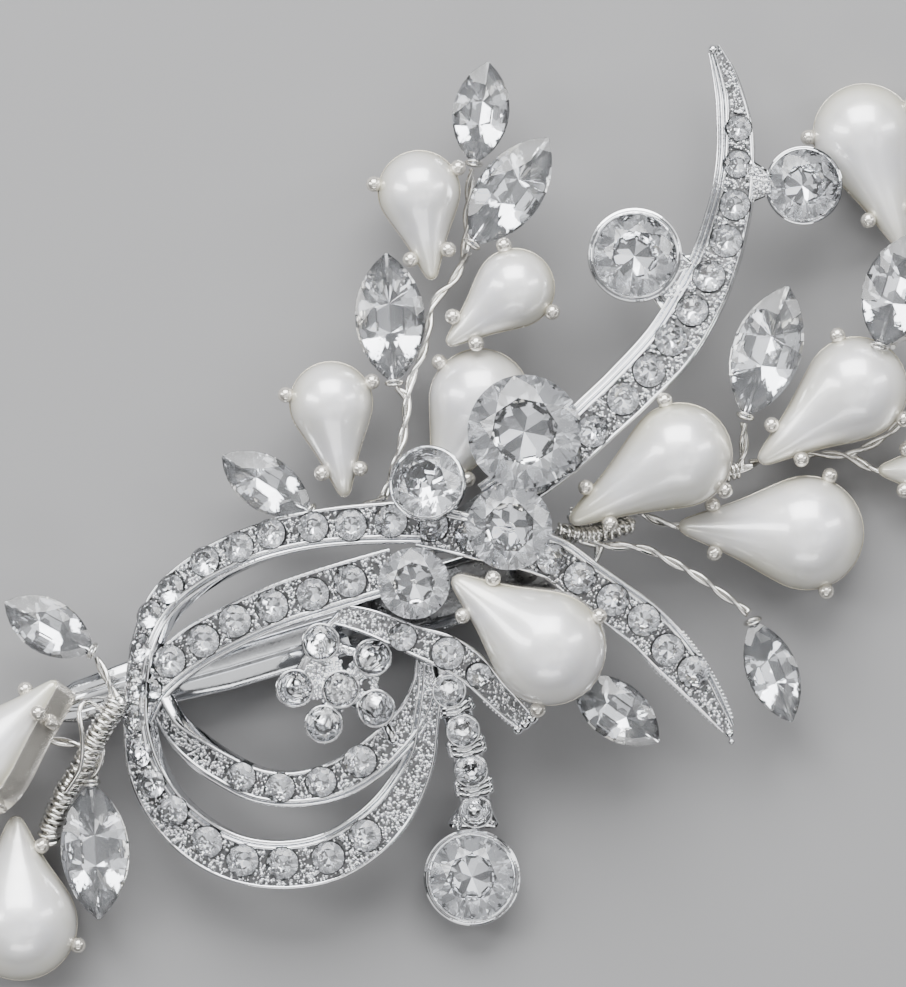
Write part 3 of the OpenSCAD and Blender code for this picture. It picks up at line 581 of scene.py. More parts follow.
def smooth_line(rows, steps):
    """A Catmull-Rom line through rows of numbers, with some steps between each two rows."""
    last = len(rows) - 1
    line = []
    for i in range(last):
        a, b = rows[max(i - 1, 0)], rows[i]
        c, d = rows[i + 1], rows[min(i + 2, last)]
        for k in range(steps):
            t = k / steps
            line.append([
                (2 * q + (r - p) * t + (2 * p - 5 * q + 4 * r - s) * t ** 2
                 + (3 * q - p - 3 * r + s) * t ** 3) / 2
                for p, q, r, s in zip(a, b, c, d)
            ])
    line.append(list(rows[last]))
    return line


def new_mesh(name, bm):
    """Writes out a mesh and frees what it was built in."""
    mesh = bpy.data.meshes.new(name)
    bm.to_mesh(mesh)
    bm.free()
    return mesh


def new_object(name, data):
    thing = bpy.data.objects.new(name, data)
    bpy.context.collection.objects.link(thing)
    return thing


def make_piece(name, bm, looks, smooth, stands_for=(), body=BOW):
    """Turns a mesh in metres into a finished piece that rides on a body. Edges are smooth up to
    an angle in degrees."""
    bmesh.ops.remove_doubles(bm, verts=bm.verts, dist=1e-7)
    bmesh.ops.recalc_face_normals(bm, faces=bm.faces)
    mesh = new_mesh(name, bm)
    piece = new_object(name, mesh)
    for look in looks:
        mesh.materials.append(finishes()[look])
    if smooth:
        mesh.shade_smooth()
        mesh.set_sharp_from_angle(angle=math.radians(smooth))
    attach(piece, body)
    if stands_for:
        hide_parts(*stands_for)


def edges_of(verts):
    return list(dict.fromkeys(e for v in verts for e in v.link_edges))


def ring_edges(bm, verts):
    """The edges round a ring of corners, made where there are none."""
    pairs = [(verts[i - 1], verts[i]) for i in range(len(verts))]
    return [bm.edges.get(pair) or bm.edges.new(pair) for pair in pairs]


def sweep(bm, rings, floor=None):
    """Extrudes a ring of points along a row of rings and closes the ends. Faces between the two
    points of the floor take the second material."""
    verts = [bm.verts.new(p) for p in rings[0]]
    first = verts
    for ring in rings[1:]:
        made = bmesh.ops.extrude_edge_only(bm, edges=ring_edges(bm, verts))["geom"]
        moved = {tuple(v.co): v for v in made if isinstance(v, bmesh.types.BMVert)}
        fresh = [moved[tuple(v.co)] for v in verts]
        for vert, place in zip(fresh, ring):
            vert.co = place
        if floor:
            inside = set(verts[floor[0]:floor[1] + 1])
            for face in (f for f in made if isinstance(f, bmesh.types.BMFace)):
                if len(inside.intersection(face.verts)) == 2:
                    face.material_index = 1
        verts = fresh
    bm.faces.new(first)
    bm.faces.new(verts)


def spin_line(bm, points, axis, angle, steps):
    """Turns a row of points about an axis and joins what meets. Gives back the corners."""
    before = set(bm.verts)
    verts = [bm.verts.new(p) for p in points]
    edges = [bm.edges.new(pair) for pair in zip(verts, verts[1:])]
    bmesh.ops.spin(bm, geom=verts + edges, cent=(0, 0, 0), axis=axis, angle=angle, steps=steps,
                   use_merge=angle == FULL_TURN)
    made = [v for v in bm.verts if v not in before]
    bmesh.ops.remove_doubles(bm, verts=made, dist=1e-8)
    return [v for v in bm.verts if v not in before]


def spin_profile(bm, profile, matrix, steps):
    """Turns a profile of x and z about the z axis and puts the result in place."""
    made = spin_line(bm, [(x, 0, z) for x, z in profile], (0, 0, 1), FULL_TURN, steps)
    bmesh.ops.transform(bm, matrix=matrix, verts=made)


def add_ball(bm, place, r, detail=3):
    bmesh.ops.create_icosphere(bm, subdivisions=detail, radius=r,
                               matrix=Matrix.Translation(place))


def add_disc(bm, matrix, r, height, segments=32):
    return bmesh.ops.create_cone(bm, cap_ends=True, segments=segments, radius1=r, radius2=r,
                                 depth=height, matrix=matrix)["verts"]


def add_block(bm, matrix, size):
    """A block of a length, width and height in millimetres."""
    scale = Matrix.Diagonal((*(side * MM for side in size), 1))
    return bmesh.ops.create_cube(bm, size=1, matrix=matrix @ scale)["verts"]


def round_edges(bm, verts, width, segments=3):
    bmesh.ops.bevel(bm, geom=edges_of(verts), offset=width * MM, segments=segments, profile=0.5,
                    affect="EDGES", material=-1)


def close_hull(bm, verts):
    """Wraps corners in one closed skin. Gives back those that lie on it."""
    bmesh.ops.delete(bm, geom=edges_of(verts), context="EDGES_FACES")
    corners = [v for v in verts if v.is_valid]
    hull = bmesh.ops.convex_hull(bm, input=corners)
    inner = [g for g in hull["geom_interior"] if isinstance(g, bmesh.types.BMVert)]
    bmesh.ops.delete(bm, geom=inner, context="VERTS")
    return [v for v in corners if v.is_valid]


def path_frames(points):
    """The way along, to the side and up at each point of a path."""
    frames = []
    for i, here in enumerate(points):
        along = (points[min(i + 1, len(points) - 1)] - points[max(i - 1, 0)]).normalized()
        side = Vector((0, 0, 1)).cross(along).normalized()
        frames.append((along, side, along.cross(side)))
    return frames


def around(frame, here, turns, reach):
    """A place at a distance from a line, some turns round it."""
    _, side, up = frame
    a = FULL_TURN * turns
    return here + (side * math.cos(a) + up * math.sin(a)) * reach


def add_tube(bm, points, radius, sides=8, flat=1.0):
    """A bar along a row of points, with a radius or one for each point. A flat bar is lower
    than it is wide."""
    radii = radius if isinstance(radius, list) else [radius] * len(points)
    frames = path_frames(points)
    normal = frames[0][1]
    rings = []
    for (along, _, _), here, r in zip(frames, points, radii):
        normal = (normal - along * normal.dot(along)).normalized()
        other = along.cross(normal)
        rings.append([
            here + (normal * math.cos(a) + other * flat * math.sin(a)) * r
            for a in (FULL_TURN * k / sides for k in range(sides))
        ])
    sweep(bm, rings)


def add_waisted_bar(bm, start, end, r, waist, sides, flat=1.0):
    """A bar between two places that thins by a share towards its middle."""
    shares = [k / 6 for k in range(7)]
    points = [start.lerp(end, share) for share in shares]
    radii = [r * (1 - waist * math.sin(math.pi * share)) for share in shares]
    add_tube(bm, points, radii, sides, flat)


def spaced(points, step):
    """Points at even steps along a line."""
    result = [points[0].copy()]
    left = step
    for a, b in zip(points, points[1:]):
        span = (b - a).length
        reach = left
        while reach <= span:
            result.append(a.lerp(b, reach / span))
            reach += step
        left = reach - span
    return result


# Ribbons

class Ribbon:
    """A ribbon of the bow: its smooth line and the way up and across at each step."""

    def __init__(self, rows, steps=6):
        self.rows = smooth_line([(*row, 0)[:5] for row in rows], steps)
        self.points = [mm(*row[:3]) for row in self.rows]
        self.widths = [row[3] * MM for row in self.rows]
        self.across = []
        self.up = []
        self.along = []
        for (along, side, up), row in zip(path_frames(self.points), self.rows):
            roll = math.radians(row[4])
            self.along.append(along)
            self.across.append(side * math.cos(roll) + up * math.sin(roll))
            self.up.append(up * math.cos(roll) - side * math.sin(roll))

    def place(self, i, across, up):
        return self.points[i] + self.across[i] * across + self.up[i] * up

    def under_photo(self, px, py):
        """The place on the ribbon's face that shows at a spot of the photo."""
        x, y = from_photo(px, py)
        spot = Vector((x, y)) * MM
        best = None
        for i in range(len(self.points) - 1):
            a, b = self.points[i], self.points[i + 1]
            near, share = geometry.intersect_point_line(spot, a.xy, b.xy)
            share = min(max(share, 0), 1)
            away = (a.xy.lerp(b.xy, share) - spot).length
            if best is None or away < best[0]:
                best = (away, i, share)
        _, i, share = best
        centre = self.points[i].lerp(self.points[i + 1], share)
        across = self.across[i].lerp(self.across[i + 1], share).normalized()
        up = self.up[i].lerp(self.up[i + 1], share).normalized()
        flat = across.xy
        offset = (spot - centre.xy).dot(flat) / max(flat.length_squared, 0.15)
        half = self.widths[i] / 2
        offset = min(max(offset, -STONE_STRAY * half), STONE_STRAY * half)
        return centre + across * offset, up, self.along[i]


def ribbon_side(width, bow, ledge):
    """One side of the ribbon's section in millimetres, from its back to the channel's floor.
    A ledge outside the rim carries fine ridges along the ribbon."""
    h = width / 2 / MM
    size = min(1, h / 1.5)
    side = [(-0.14, -bow.thickness / MM), (0, 0.25 - bow.thickness / MM), (0, -0.5)]
    ridges = round(ledge / RIDGE_WIDTH)
    for k in range(ridges):
        out, into = -ledge * k / ridges, -ledge * (k + 1) / ridges
        lift = 0.06 * k
        side += [(out, -0.42 + lift), (out - 0.05, -0.33 + lift), (out - 0.14, -0.26 + lift),
                 (into + 0.2, -0.26 + lift), (into + 0.12, -0.34 + lift), (into + 0.07, -0.5)]
    inner = ledge + bow.rim / MM
    middle = (ledge + inner) / 2
    side += [(-ledge, -0.24), (-ledge - 0.04, -0.11), (-middle + 0.08, -0.02),
             (-middle - 0.08, -0.02), (-inner + 0.04, -0.11), (-inner, -0.2),
             (-inner, -bow.channel / MM)]
    return [(h + x * size, z * (0.45 + 0.55 * size)) for x, z in side]


def ribbon_sections(ribbon, bow, ledge):
    """The ribbon's rings, and which two points of a ring bound the channel's floor."""
    rings = []
    for i, width in enumerate(ribbon.widths):
        left = ribbon_side(width, bow, max(ledge, 0))
        right = ribbon_side(width, bow, max(-ledge, 0))
        section = left + [(-x, z) for x, z in reversed(right)]
        rings.append([ribbon.place(i, x * MM, z * MM) for x, z in section])
    return rings, (len(left) - 1, len(left))


def drill(body, holes):
    """Cuts the seats of the stones into a closed mesh. Both meshes are used up."""
    objects = []
    for bm in (body, holes):
        bmesh.ops.recalc_face_normals(bm, faces=bm.faces)
        objects.append(new_object("drill", new_mesh("drill", bm)))
        for look in ("polished", "cast"):
            objects[-1].data.materials.append(finishes()[look])
    cut = objects[0].modifiers.new("seats", "BOOLEAN")
    cut.object = objects[1]
    cut.solver = "EXACT"
    graph = bpy.context.evaluated_depsgraph_get()
    result = bpy.data.meshes.new_from_object(objects[0].evaluated_get(graph))
    for mesh in [obj.data for obj in objects]:
        bpy.data.meshes.remove(mesh)
    return result


def add_mesh(bm, mesh):
    """Adds a finished mesh to one that is being built, and throws it away."""
    bm.from_mesh(mesh)
    bpy.data.meshes.remove(mesh)


def model_ribbons(bow, ribbons):
    bm = bmesh.new()
    for name, ribbon in ribbons.items():
        body = bmesh.new()
        rings, floor = ribbon_sections(ribbon, bow, LEDGES[name])
        sweep(body, rings, floor=floor)
        holes = bmesh.new()
        for centre, up, along, r in stone_places(ribbon, CHANNEL_STONES[name]):
            place = stone_matrix(centre + up * (MM - bow.seat / 2), up, along, 1)
            add_disc(holes, place, r + bow.gap, bow.seat + 2 * MM, 24)
        # The seats take the cast floor's darker colour, which paints their shade
        for face in holes.faces:
            face.material_index = 1
        add_mesh(bm, drill(body, holes))
    return bm


def stone_places(ribbon, stones):
    """Centre, up, way along and radius of the small stones of a ribbon."""
    places = []
    for px, py, r in stones:
        centre, up, along = ribbon.under_photo(px, py)
        places.append((centre, up, along, r * MM))
    return places


def add_grains(bm, places):
    """Many small grains, each a ball of twenty faces: pairs of centre and radius."""
    grains = bmesh.new()
    bmesh.ops.create_icosphere(grains, subdivisions=1, radius=1)
    corners = len(grains.verts)
    while len(grains.verts) < corners * len(places):
        bmesh.ops.duplicate(grains, geom=grains.verts[:] + grains.edges[:] + grains.faces[:])
    verts = grains.verts[:]
    bmesh.ops.delete(grains, geom=verts[corners * len(places):], context="VERTS")
    for k, (centre, r) in enumerate(places):
        for vert in verts[corners * k:corners * (k + 1)]:
            vert.co = centre + vert.co * r
    add_mesh(bm, new_mesh("grains", grains))


def channel_span(ribbon, i, bow, ledge):
    """Where the channel starts and ends across the ribbon at one of its steps."""
    half = ribbon.widths[i] / 2
    size = min(1, half / (1.5 * MM))
    low = -half + (bow.rim + max(-ledge, 0) * MM) * size
    high = half - (bow.rim + max(ledge, 0) * MM) * size
    return low, high, size


def scatter_grains(ribbon, ledge, stones, bow, rng):
    """Centres and radii of the cast grains that fill a channel between its stones, with two
    larger beads between neighbouring stones."""
    grains = []
    inset = BEAD_INSET * MM
    for (first, _, _, r), (second, _, _, q) in zip(stones, stones[1:]):
        if (first - second).length < r + q + BEAD_GAP * MM:
            middle = (first + second) / 2
            i = min(range(len(ribbon.points)), key=lambda k: (ribbon.points[k] - middle).length)
            low, high, _ = channel_span(ribbon, i, bow, ledge)
            for reach in (low + inset, high - inset):
                size = bow.bead * rng.uniform(0.8, 1.2)
                grains.append((ribbon.place(i, reach, -BEAD_SINK * MM), size))
    for i, (here, ahead) in enumerate(zip(ribbon.points, ribbon.points[1:])):
        low, high, size = channel_span(ribbon, i, bow, ledge)
        shrink = 0.6 + 0.4 * size
        depth = bow.channel * (0.45 + 0.55 * size)
        count = round((ahead - here).length * (high - low) / bow.spacing ** 2)
        for _ in range(max(1, count)):
            across = rng.uniform(low, high)
            r = bow.grain * rng.uniform(0.35, 1.0 + 0.7 * rng.random()) * shrink
            drop = rng.uniform(-0.06, 0.1) * MM - depth
            spot = here.lerp(ahead, rng.random())
            place = spot + ribbon.across[i] * across + ribbon.up[i] * drop
            if all((place - s[0]).length > s[3] + bow.gap + 0.3 * r for s in stones):
                grains.append((place, r))
    return grains


def milgrain(ribbon, start, side):
    """A row of beads along a ribbon's outer edge, from a share of its length to its tip."""
    last = len(ribbon.points) - 1
    span = range(int(start * last), int(0.99 * last) + 1)
    edge = [ribbon.place(i, side * ribbon.widths[i] / 2, -MILGRAIN_SINK * MM) for i in span]
    return [(place, MILGRAIN * MM) for place in spaced(edge, MILGRAIN_STEP * MM)]


def add_web(bm, corners, r, height, count, rng):
    """A rounded plate between corners, and the places of grains on its top."""
    web = []
    for corner in corners:
        web += add_disc(bm, at(*corner), r * MM, (height - 0.3) * MM, 20)
        web += add_disc(bm, at(*corner), (r - 0.25) * MM, height * MM, 20)
    close_hull(bm, web)
    grains = []
    for _ in range(count):
        shares = [rng.random() ** 2 + 0.01 for _ in corners]
        spot = sum((Vector(c) * s for c, s in zip(corners, shares)), Vector()) / sum(shares)
        a = rng.uniform(0, FULL_TURN)
        reach = r * math.sqrt(rng.random())
        lift = height / 2 + rng.uniform(-0.15, 0.15) - 0.3 * (reach / r) ** 2
        spot += Vector((reach * math.cos(a), reach * math.sin(a), lift))
        size = rng.uniform(0.16, 0.5) * (0.6 + 0.4 * rng.random())
        grains.append((spot * MM, size * MM))
    return grains


# Stones

def cut_round(bm, matrix, crystal):
    """A round stone with a table, eight kites and their star and girdle facets, and a pointed
    back with eight kites. Its radius is one before the matrix is applied."""
    facets = 8
    half_turn = math.pi / facets
    slope = (GIRDLE - crystal.crown) / (1 - crystal.table)
    star_z = crystal.crown + (STAR_RING * math.cos(half_turn) - crystal.table) * slope
    deep = crystal.pavilion
    back_z = -deep + BACK_RING * math.cos(half_turn) * (deep - GIRDLE)
    rings = [
        (facets, crystal.table, crystal.crown, 0), (facets, STAR_RING, star_z, half_turn),
        (4 * facets, 1, GIRDLE, 0), (4 * facets, 1, -GIRDLE, 0),
        (facets, BACK_RING, back_z, half_turn),
    ]
    made = []
    for count, r, z, turn in rings:
        place = Matrix.Translation((0, 0, z)) @ Matrix.Rotation(turn, 4, "Z")
        made += bmesh.ops.create_circle(bm, segments=count, radius=r, matrix=place)["verts"]
    made.append(bm.verts.new((0, 0, -deep)))
    close_stone(bm, made, matrix, -0.5 * GIRDLE)


def cut_navette(bm, matrix, length, width, slope):
    """A stone between two arcs, with a narrow table and a back that falls evenly from its
    edge to a keel."""
    made = []
    curve = (length ** 2 + width ** 2) / (4 * width)
    reach = math.asin(length / 2 / curve) * NAVETTE_TIP
    for count, along, across, height in NAVETTE_ROWS:
        for side in (-1, 1):
            for k in range(count):
                a = reach * (2 * k / (count - 1) - 1)
                x = curve * math.sin(a) * along
                y = (curve * math.cos(a) - curve + width / 2) * across
                fall = slope * (curve - math.hypot(x, y + curve - width / 2))
                z = -NAVETTE_EDGE * width - fall if height is None else height * width
                made.append(bm.verts.new((x, side * y, z)))
    close_stone(bm, made, matrix, -0.02 * width)


def close_stone(bm, made, matrix, waist):
    """Closes a stone's corners with flat facets. Those under the waist take the foil."""
    verts = close_hull(bm, made)
    bmesh.ops.dissolve_limit(bm, angle_limit=math.radians(FACET_ANGLE), verts=verts,
                             edges=edges_of(verts))
    verts = [v for v in verts if v.is_valid]
    for face in {f for v in verts for f in v.link_faces}:
        face.material_index = 1 if face.calc_center_median().z < waist else 0
    bmesh.ops.transform(bm, matrix=matrix, verts=verts)


def level_up(up, share):
    """A stone's way up, leant from its ribbon's towards the viewer."""
    return (up + Vector((0, 0, share))).normalized()


def stone_matrix(centre, up, along, r):
    side = up.cross(along).normalized()
    ahead = side.cross(up)
    turn = Matrix((ahead, side, up)).transposed().to_4x4()
    return Matrix.Translation(centre) @ turn @ Matrix.Scale(r, 4)


def open_cup(r, wall, height):
    """Profile of a small round cup with a rounded lip, its top at zero."""
    return [
        (0, -height), (r - 0.3 * wall, -height), (r, -height + 0.5 * wall), (r, -0.4 * wall),
        (r - 0.25 * wall, -0.08 * wall), (r - 0.55 * wall, 0), (r - wall, -0.15 * wall),
        (r - wall, -0.6 * wall), (0.3 * r, -0.75 * r), (0, -0.8 * r),
    ]


def crystal_cup(r, wall):
    """Profile of a large crystal's cup. One with no wall stays hidden under its stone."""
    floor = 0.86 * r + 0.18 * MM
    inner = [(0.3 * r, -0.62 * r - 0.1 * MM), (0, -0.86 * r - 0.06 * MM)]
    base = [(0, -floor), (0.34 * r, -floor), (0.42 * r, -floor + 0.15 * MM)]
    if not wall:
        return base + [(0.9 * r, -0.3 * r), (0.94 * r, -0.16 * r), (0.9 * r, -0.13 * r)] + inner
    out = r + wall
    return base + [
        (out - 0.2 * MM, -0.34 * r), (out, -0.22 * r), (out, 0.02 * MM),
        (out - 0.08 * wall, 0.12 * MM), (out - 0.3 * wall, 0.16 * MM),
        (out - 0.42 * wall, 0.06 * MM), (out - 0.55 * wall, 0.06 * MM),
        (out - 0.66 * wall, 0.24 * MM), (out - 0.82 * wall, 0.26 * MM),
        (r + 0.02 * MM, 0.14 * MM), (r + 0.02 * MM, -0.03 * r),
    ] + inner


# Pearls

def pear_point(share, length, width):
    """A place on the pear's outline and the way out there. A share of zero is the tip and one
    the middle of the round end. The round end's centre is at zero."""
    big = width / 2
    small = TIP_ROUNDING * width
    reach = length - big - small
    lean = math.asin((big - small) / reach)
    flank = reach * math.cos(lean)
    tip_arc = small * (math.pi / 2 - lean)
    round_arc = big * (math.pi / 2 + lean)
    way = share * (tip_arc + flank + round_arc)
    if way < tip_arc:
        angle = way / small
        spot = Vector((reach + small * math.cos(angle), small * math.sin(angle)))
    elif way < tip_arc + flank:
        angle = math.pi / 2 - lean
        out = Vector((math.cos(angle), math.sin(angle)))
        first, last = Vector((reach, 0)) + out * small, out * big
        along = (way - tip_arc) / flank
        hollow = FLANK_HOLLOW * width * math.sin(math.pi * along) ** 2
        spot = first.lerp(last, along) - out * hollow
    else:
        angle = math.pi / 2 - lean + (way - tip_arc - flank) / big
        spot = Vector((big * math.cos(angle), big * math.sin(angle)))
    return spot, Vector((math.cos(angle), math.sin(angle)))


def pearl_floor(width, rise):
    """Height of a pearl's back at which its cup rests on the surface."""
    depth, rim, gap = 3.0, 0.5, 0.1
    flat = math.sqrt((width / 2 + rim) ** 2 - depth ** 2)
    rise = math.radians(rise)
    return (depth + gap) * math.cos(rise) + flat * math.sin(rise)


def pearl_matrix(row):
    x, y, z, heading, rise, roll, _, width = row
    if z is None:
        z = pearl_floor(width, rise)
    return at(x, y, z) @ turned(heading, "Z") @ turned(-rise, "Y") @ turned(roll, "X")


def pear_outline(length, width, grow, count):
    """The pear's outline from its tip to its round end, grown by some distance."""
    points = []
    for k in range(count + 1):
        spot, out = pear_point((k / count) ** 1.15, length, width)
        points.append(spot + out * grow)
    points[0].y = 0
    points[-1].y = 0
    return points


def add_claw(bm, length, width, share, side, settings):
    """A claw: a flat leg that rises along the cup's wall and ends in a ball by the pearl. Gives
    back the leg's line."""
    spot, out = pear_point(share, length, width)
    out = Vector((*out, 0))
    spot = Vector((*spot, 0)) * MM
    rows = [spot + out * grow * MM + Vector((0, 0, z * MM)) for z, grow in CLAW_LINE]
    line = [Vector((x, side * y, z)) for x, y, z in smooth_line(rows, 3)]
    count = len(line) - 1
    radii = [settings.leg * (1.1 - 0.25 * k / count) for k in range(count + 1)]
    add_tube(bm, line, radii, 12, flat=0.6)
    add_ball(bm, line[-1], settings.ball)
    return line


def add_fold(bm, line):
    """The square fold at the root of a claw's leg."""
    turn = line[0].xy.to_3d().to_track_quat("X", "Z").to_matrix().to_4x4()
    block = add_block(bm, Matrix.Translation(line[4]) @ turn, (0.9, 1.7, 1.2))
    round_edges(bm, block, 0.22)


# Wires

def smooth_wire(rows):
    return [mm(*p) for p in smooth_line(rows, 10)]


def add_twist(bm, rows, settings):
    """Two strands of wire twisted about a line."""
    smooth = smooth_wire(rows)
    steps = 16
    points = spaced(smooth, settings.pitch / steps) + [smooth[-1]]
    frames = path_frames(points)
    for start in (0, 0.5):
        strand = [around(frame, here, start + k / steps, settings.strand * 0.97)
                  for k, (frame, here) in enumerate(zip(frames, points))]
        add_tube(bm, strand, settings.strand)


def add_winding(bm, rows, r, settings):
    """Three thick strands twisted together, and the wire wound unevenly round them."""
    steps = 12
    points = spaced(smooth_wire(rows), settings.turns / steps)
    frames = path_frames(points)
    strand = 0.42 * (r - 1.6 * settings.wound)
    for start in range(3):
        line = [around(frame, here, start / 3 + k / (8 * steps), 1.3 * strand)
                for k, (frame, here) in enumerate(zip(frames, points))]
        add_tube(bm, line[::3], strand, 10)
    line = []
    for k in range(len(points)):
        drift = steps * noise.noise(Vector((k / (2.7 * steps), 5000 * r, 0)))
        i = min(max(round(k + drift), 0), len(points) - 1)
        reach = (r - settings.wound) * (1 + 0.12 * noise.noise(points[i] * 900))
        lean = 0.22 * MM * math.sin(FULL_TURN * k / steps + 0.4)
        line.append(around(frames[i], points[i] + frames[i][0] * lean, k / steps, reach))
    add_tube(bm, line, settings.wound)


# The clip

def jaw_half_width(x):
    """Half the width of the jaws at a distance from the pin."""
    h = JAW_WIDTH / 2
    table = [(-THUMB_LENGTH, 0.8 * h), (1.5 - THUMB_LENGTH, h), (0.55 * JAW_LENGTH, h),
             (JAW_LENGTH - 3, 0.68 * h), (JAW_LENGTH, 0.38 * h)]
    for (a, p), (b, q) in zip(table, table[1:]):
        if x <= b:
            return p + (q - p) * (x - a) / (b - a)
    return table[-1][1]


def model_top_jaw(settings):
    bm = bmesh.new()
    place = clip_matrix()
    top = JAW_GAP + SHEET
    rings = []
    for x in TOP_STATIONS:
        h = jaw_half_width(x)
        rail = min(RAIL, max(0.0, RAIL - (x - RAIL_END) * 0.25))
        low = JAW_GAP - rail
        groove = settings.groove / MM if GROOVES[0] < x < GROOVES[1] else 0.0
        g = 0.36 * h
        half = [
            (0, top + 0.08), (g - 0.5, top + 0.07), (g - 0.3, top + 0.03), (g - 0.16, top - groove),
            (g + 0.1, top - groove), (g + 0.26, top - 0.03), (g + 0.7, top - 0.1),
            (h - 0.75, top - 0.2), (h - 0.4, top - 0.32), (h - 0.15, top - 0.46), (h, top - 0.66),
            (h, low + 0.08), (h - 0.1, low), (h - 0.5, low), (h - 0.58, JAW_GAP),
        ]
        loop = half + [(-y, z) for y, z in reversed(half[1:])]
        rings.append([place @ mm(x, y, z) for y, z in loop])
    sweep(bm, rings)
    add_ears(bm, *TOP_EARS, (0, TOP_FOOT))
    return bm


def add_ears(bm, inset, r, reach):
    """Two round ears for the pin, each on a foot that reaches its sheet."""
    low, high = reach
    y = JAW_WIDTH / 2 - inset
    for side in (-1, 1):
        lay = clip_matrix() @ at(0, side * y, 0)
        ear = add_disc(bm, lay @ turned(90, "X"), r * MM, 0.58 * MM, 40)
        ear += add_block(bm, lay @ at(0, 0, (low + high) / 2), (2 * r, 0.56, high - low))
        round_edges(bm, ear, 0.1, 2)


def model_lower_jaw(settings):
    bm = bmesh.new()
    place = clip_matrix()
    line = smooth_line(LOWER_BEND, 8)
    rings = []
    for i, (x, z) in enumerate(line):
        ahead = line[min(i + 1, len(line) - 1)]
        behind = line[max(i - 1, 0)]
        along = Vector((ahead[0] - behind[0], ahead[1] - behind[1])).normalized()
        up = Vector((-along.y, along.x))
        h = jaw_half_width(x)
        half = [(0, 0.4), (h - 0.35, 0.4), (h - 0.1, 0.32), (h, 0.1), (h, -0.1),
                (h - 0.1, -0.32), (h - 0.35, -0.4), (0, -0.4)]
        loop = half + [(-y, t) for y, t in reversed(half[1:-1])]
        rings.append([place @ mm(x + up.x * t, y, z + up.y * t) for y, t in loop])
    sweep(bm, rings)
    add_ears(bm, *LOWER_EARS, (LOWER_FOOT, 0))
    for k in range(TEETH):
        x = FIRST_TOOTH + k * TOOTH_STEP
        i = next(j for j in range(1, len(line)) if line[j][0] >= x)
        (a, low), (b, high) = line[i - 1], line[i]
        h = jaw_half_width(x) - 0.4
        z = low + (high - low) * (x - a) / (b - a) + 0.4
        bar = [place @ mm(x, y * h / 3, z) for y in range(-3, 4)]
        add_tube(bm, bar, settings.tooth * 0.45)
    return bm


# Materials

def feed(tree, node, inputs):
    """Sets a node's inputs. Each is a number, a colour or a socket to link from."""
    for name, value in inputs.items():
        if isinstance(value, bpy.types.NodeSocket):
            tree.links.new(value, node.inputs[name])
        else:
            node.inputs[name].default_value = value


def add_node(tree, kind, inputs):
    node = tree.nodes.new("ShaderNode" + kind)
    feed(tree, node, inputs)
    return node


def node_material(name):
    material = bpy.data.materials.new(name)
    material.use_nodes = True
    tree = material.node_tree
    place = add_node(tree, "TexCoord", {}).outputs["Object"]
    return material, tree, tree.nodes["Principled BSDF"], place


def add_noise(tree, vector, scale, detail, roughness=0.55):
    inputs = {"Vector": vector, "Scale": scale, "Detail": detail, "Roughness": roughness}
    return add_node(tree, "TexNoise", inputs).outputs["Fac"]


def add_range(tree, value, span, result):
    """Spreads the values between two numbers evenly between two others."""
    node = add_node(tree, "MapRange", {
        "Value": value, "From Min": span[0], "From Max": span[1],
        "To Min": result[0], "To Max": result[1],
    })
    return node.outputs["Result"]


def add_clouds(tree, place, scale, detail, span, result, roughness=0.55):
    return add_range(tree, add_noise(tree, place, scale, detail, roughness), span, result)


def add_math(tree, operation, first, second):
    """Works out a number from two. Each is a number or a socket that gives one."""
    node = add_node(tree, "Math", {0: first, 1: second})
    node.operation = operation
    return node.outputs["Value"]


def add_mix(tree, share, first, second):
    """Mixes two colours. Each is a colour or a socket that gives one."""
    node = tree.nodes.new("ShaderNodeMix")
    node.data_type = "RGBA"
    colours = [c if isinstance(c, bpy.types.NodeSocket) else (*c, 1) for c in (first, second)]
    feed(tree, node, {"Factor": share, 6: colours[0], 7: colours[1]})
    return node.outputs[2]


def add_bump(tree, shader, height, distance, strength, below=None):
    """Bumps the shader's surface, on top of other bumps if there are any below."""
    node = add_node(tree, "Bump", {"Height": height, "Distance": distance, "Strength": strength})
    if below:
        feed(tree, node, {"Normal": below})
    feed(tree, shader, {"Normal": node.outputs["Normal"]})
    return node.outputs["Normal"]


def shaded(colour, share):
    return tuple(c * share for c in colour)


def metal(name, colour, polish, wear, grit=0.0, stain=0.12, plate=1.0):
    """Plated metal: soft ripples from casting or pressing, uneven polish and faint stains in
    random clouds. Grit adds a pebbled surface. A plate under one lets some of the pale ground
    show through."""
    material, tree, shader, place = node_material(name)
    shade = add_clouds(tree, place, 260, 4, (0.42, 0.75), (0, stain))
    feed(tree, shader, {
        "Metallic": plate,
        "Base Color": add_mix(tree, shade, colour, shaded(colour, 0.55)),
        "Roughness": add_clouds(tree, place, 900, 5, (0.3, 0.7), (polish, wear), 0.65),
    })
    waves = add_noise(tree, place, 420, 4, 0.6)
    normal = add_bump(tree, shader, waves, 0.04 * MM, 0.6)
    if grit:
        cells = add_node(tree, "TexVoronoi", {"Vector": place, "Scale": 3600})
        cells.feature = "SMOOTH_F1"
        add_bump(tree, shader, cells.outputs["Distance"], grit * MM, 0.8, normal)
    return material


def crystal_glass(crystal):
    """Clear lead glass with the faintest clouding."""
    material, tree, shader, place = node_material("crystal_glass")
    cloud = add_clouds(tree, place, 180, 3, (0.35, 0.8), (0, 0.05))
    feed(tree, shader, {
        "Transmission Weight": 1.0,
        "IOR": crystal.ior,
        "Base Color": add_mix(tree, cloud, tuple(crystal.glass), shaded(crystal.glass, 0.82)),
        "Roughness": add_clouds(tree, place, 2400, 4, (0.5, 0.9), (0.0, 0.02)),
    })
    return material


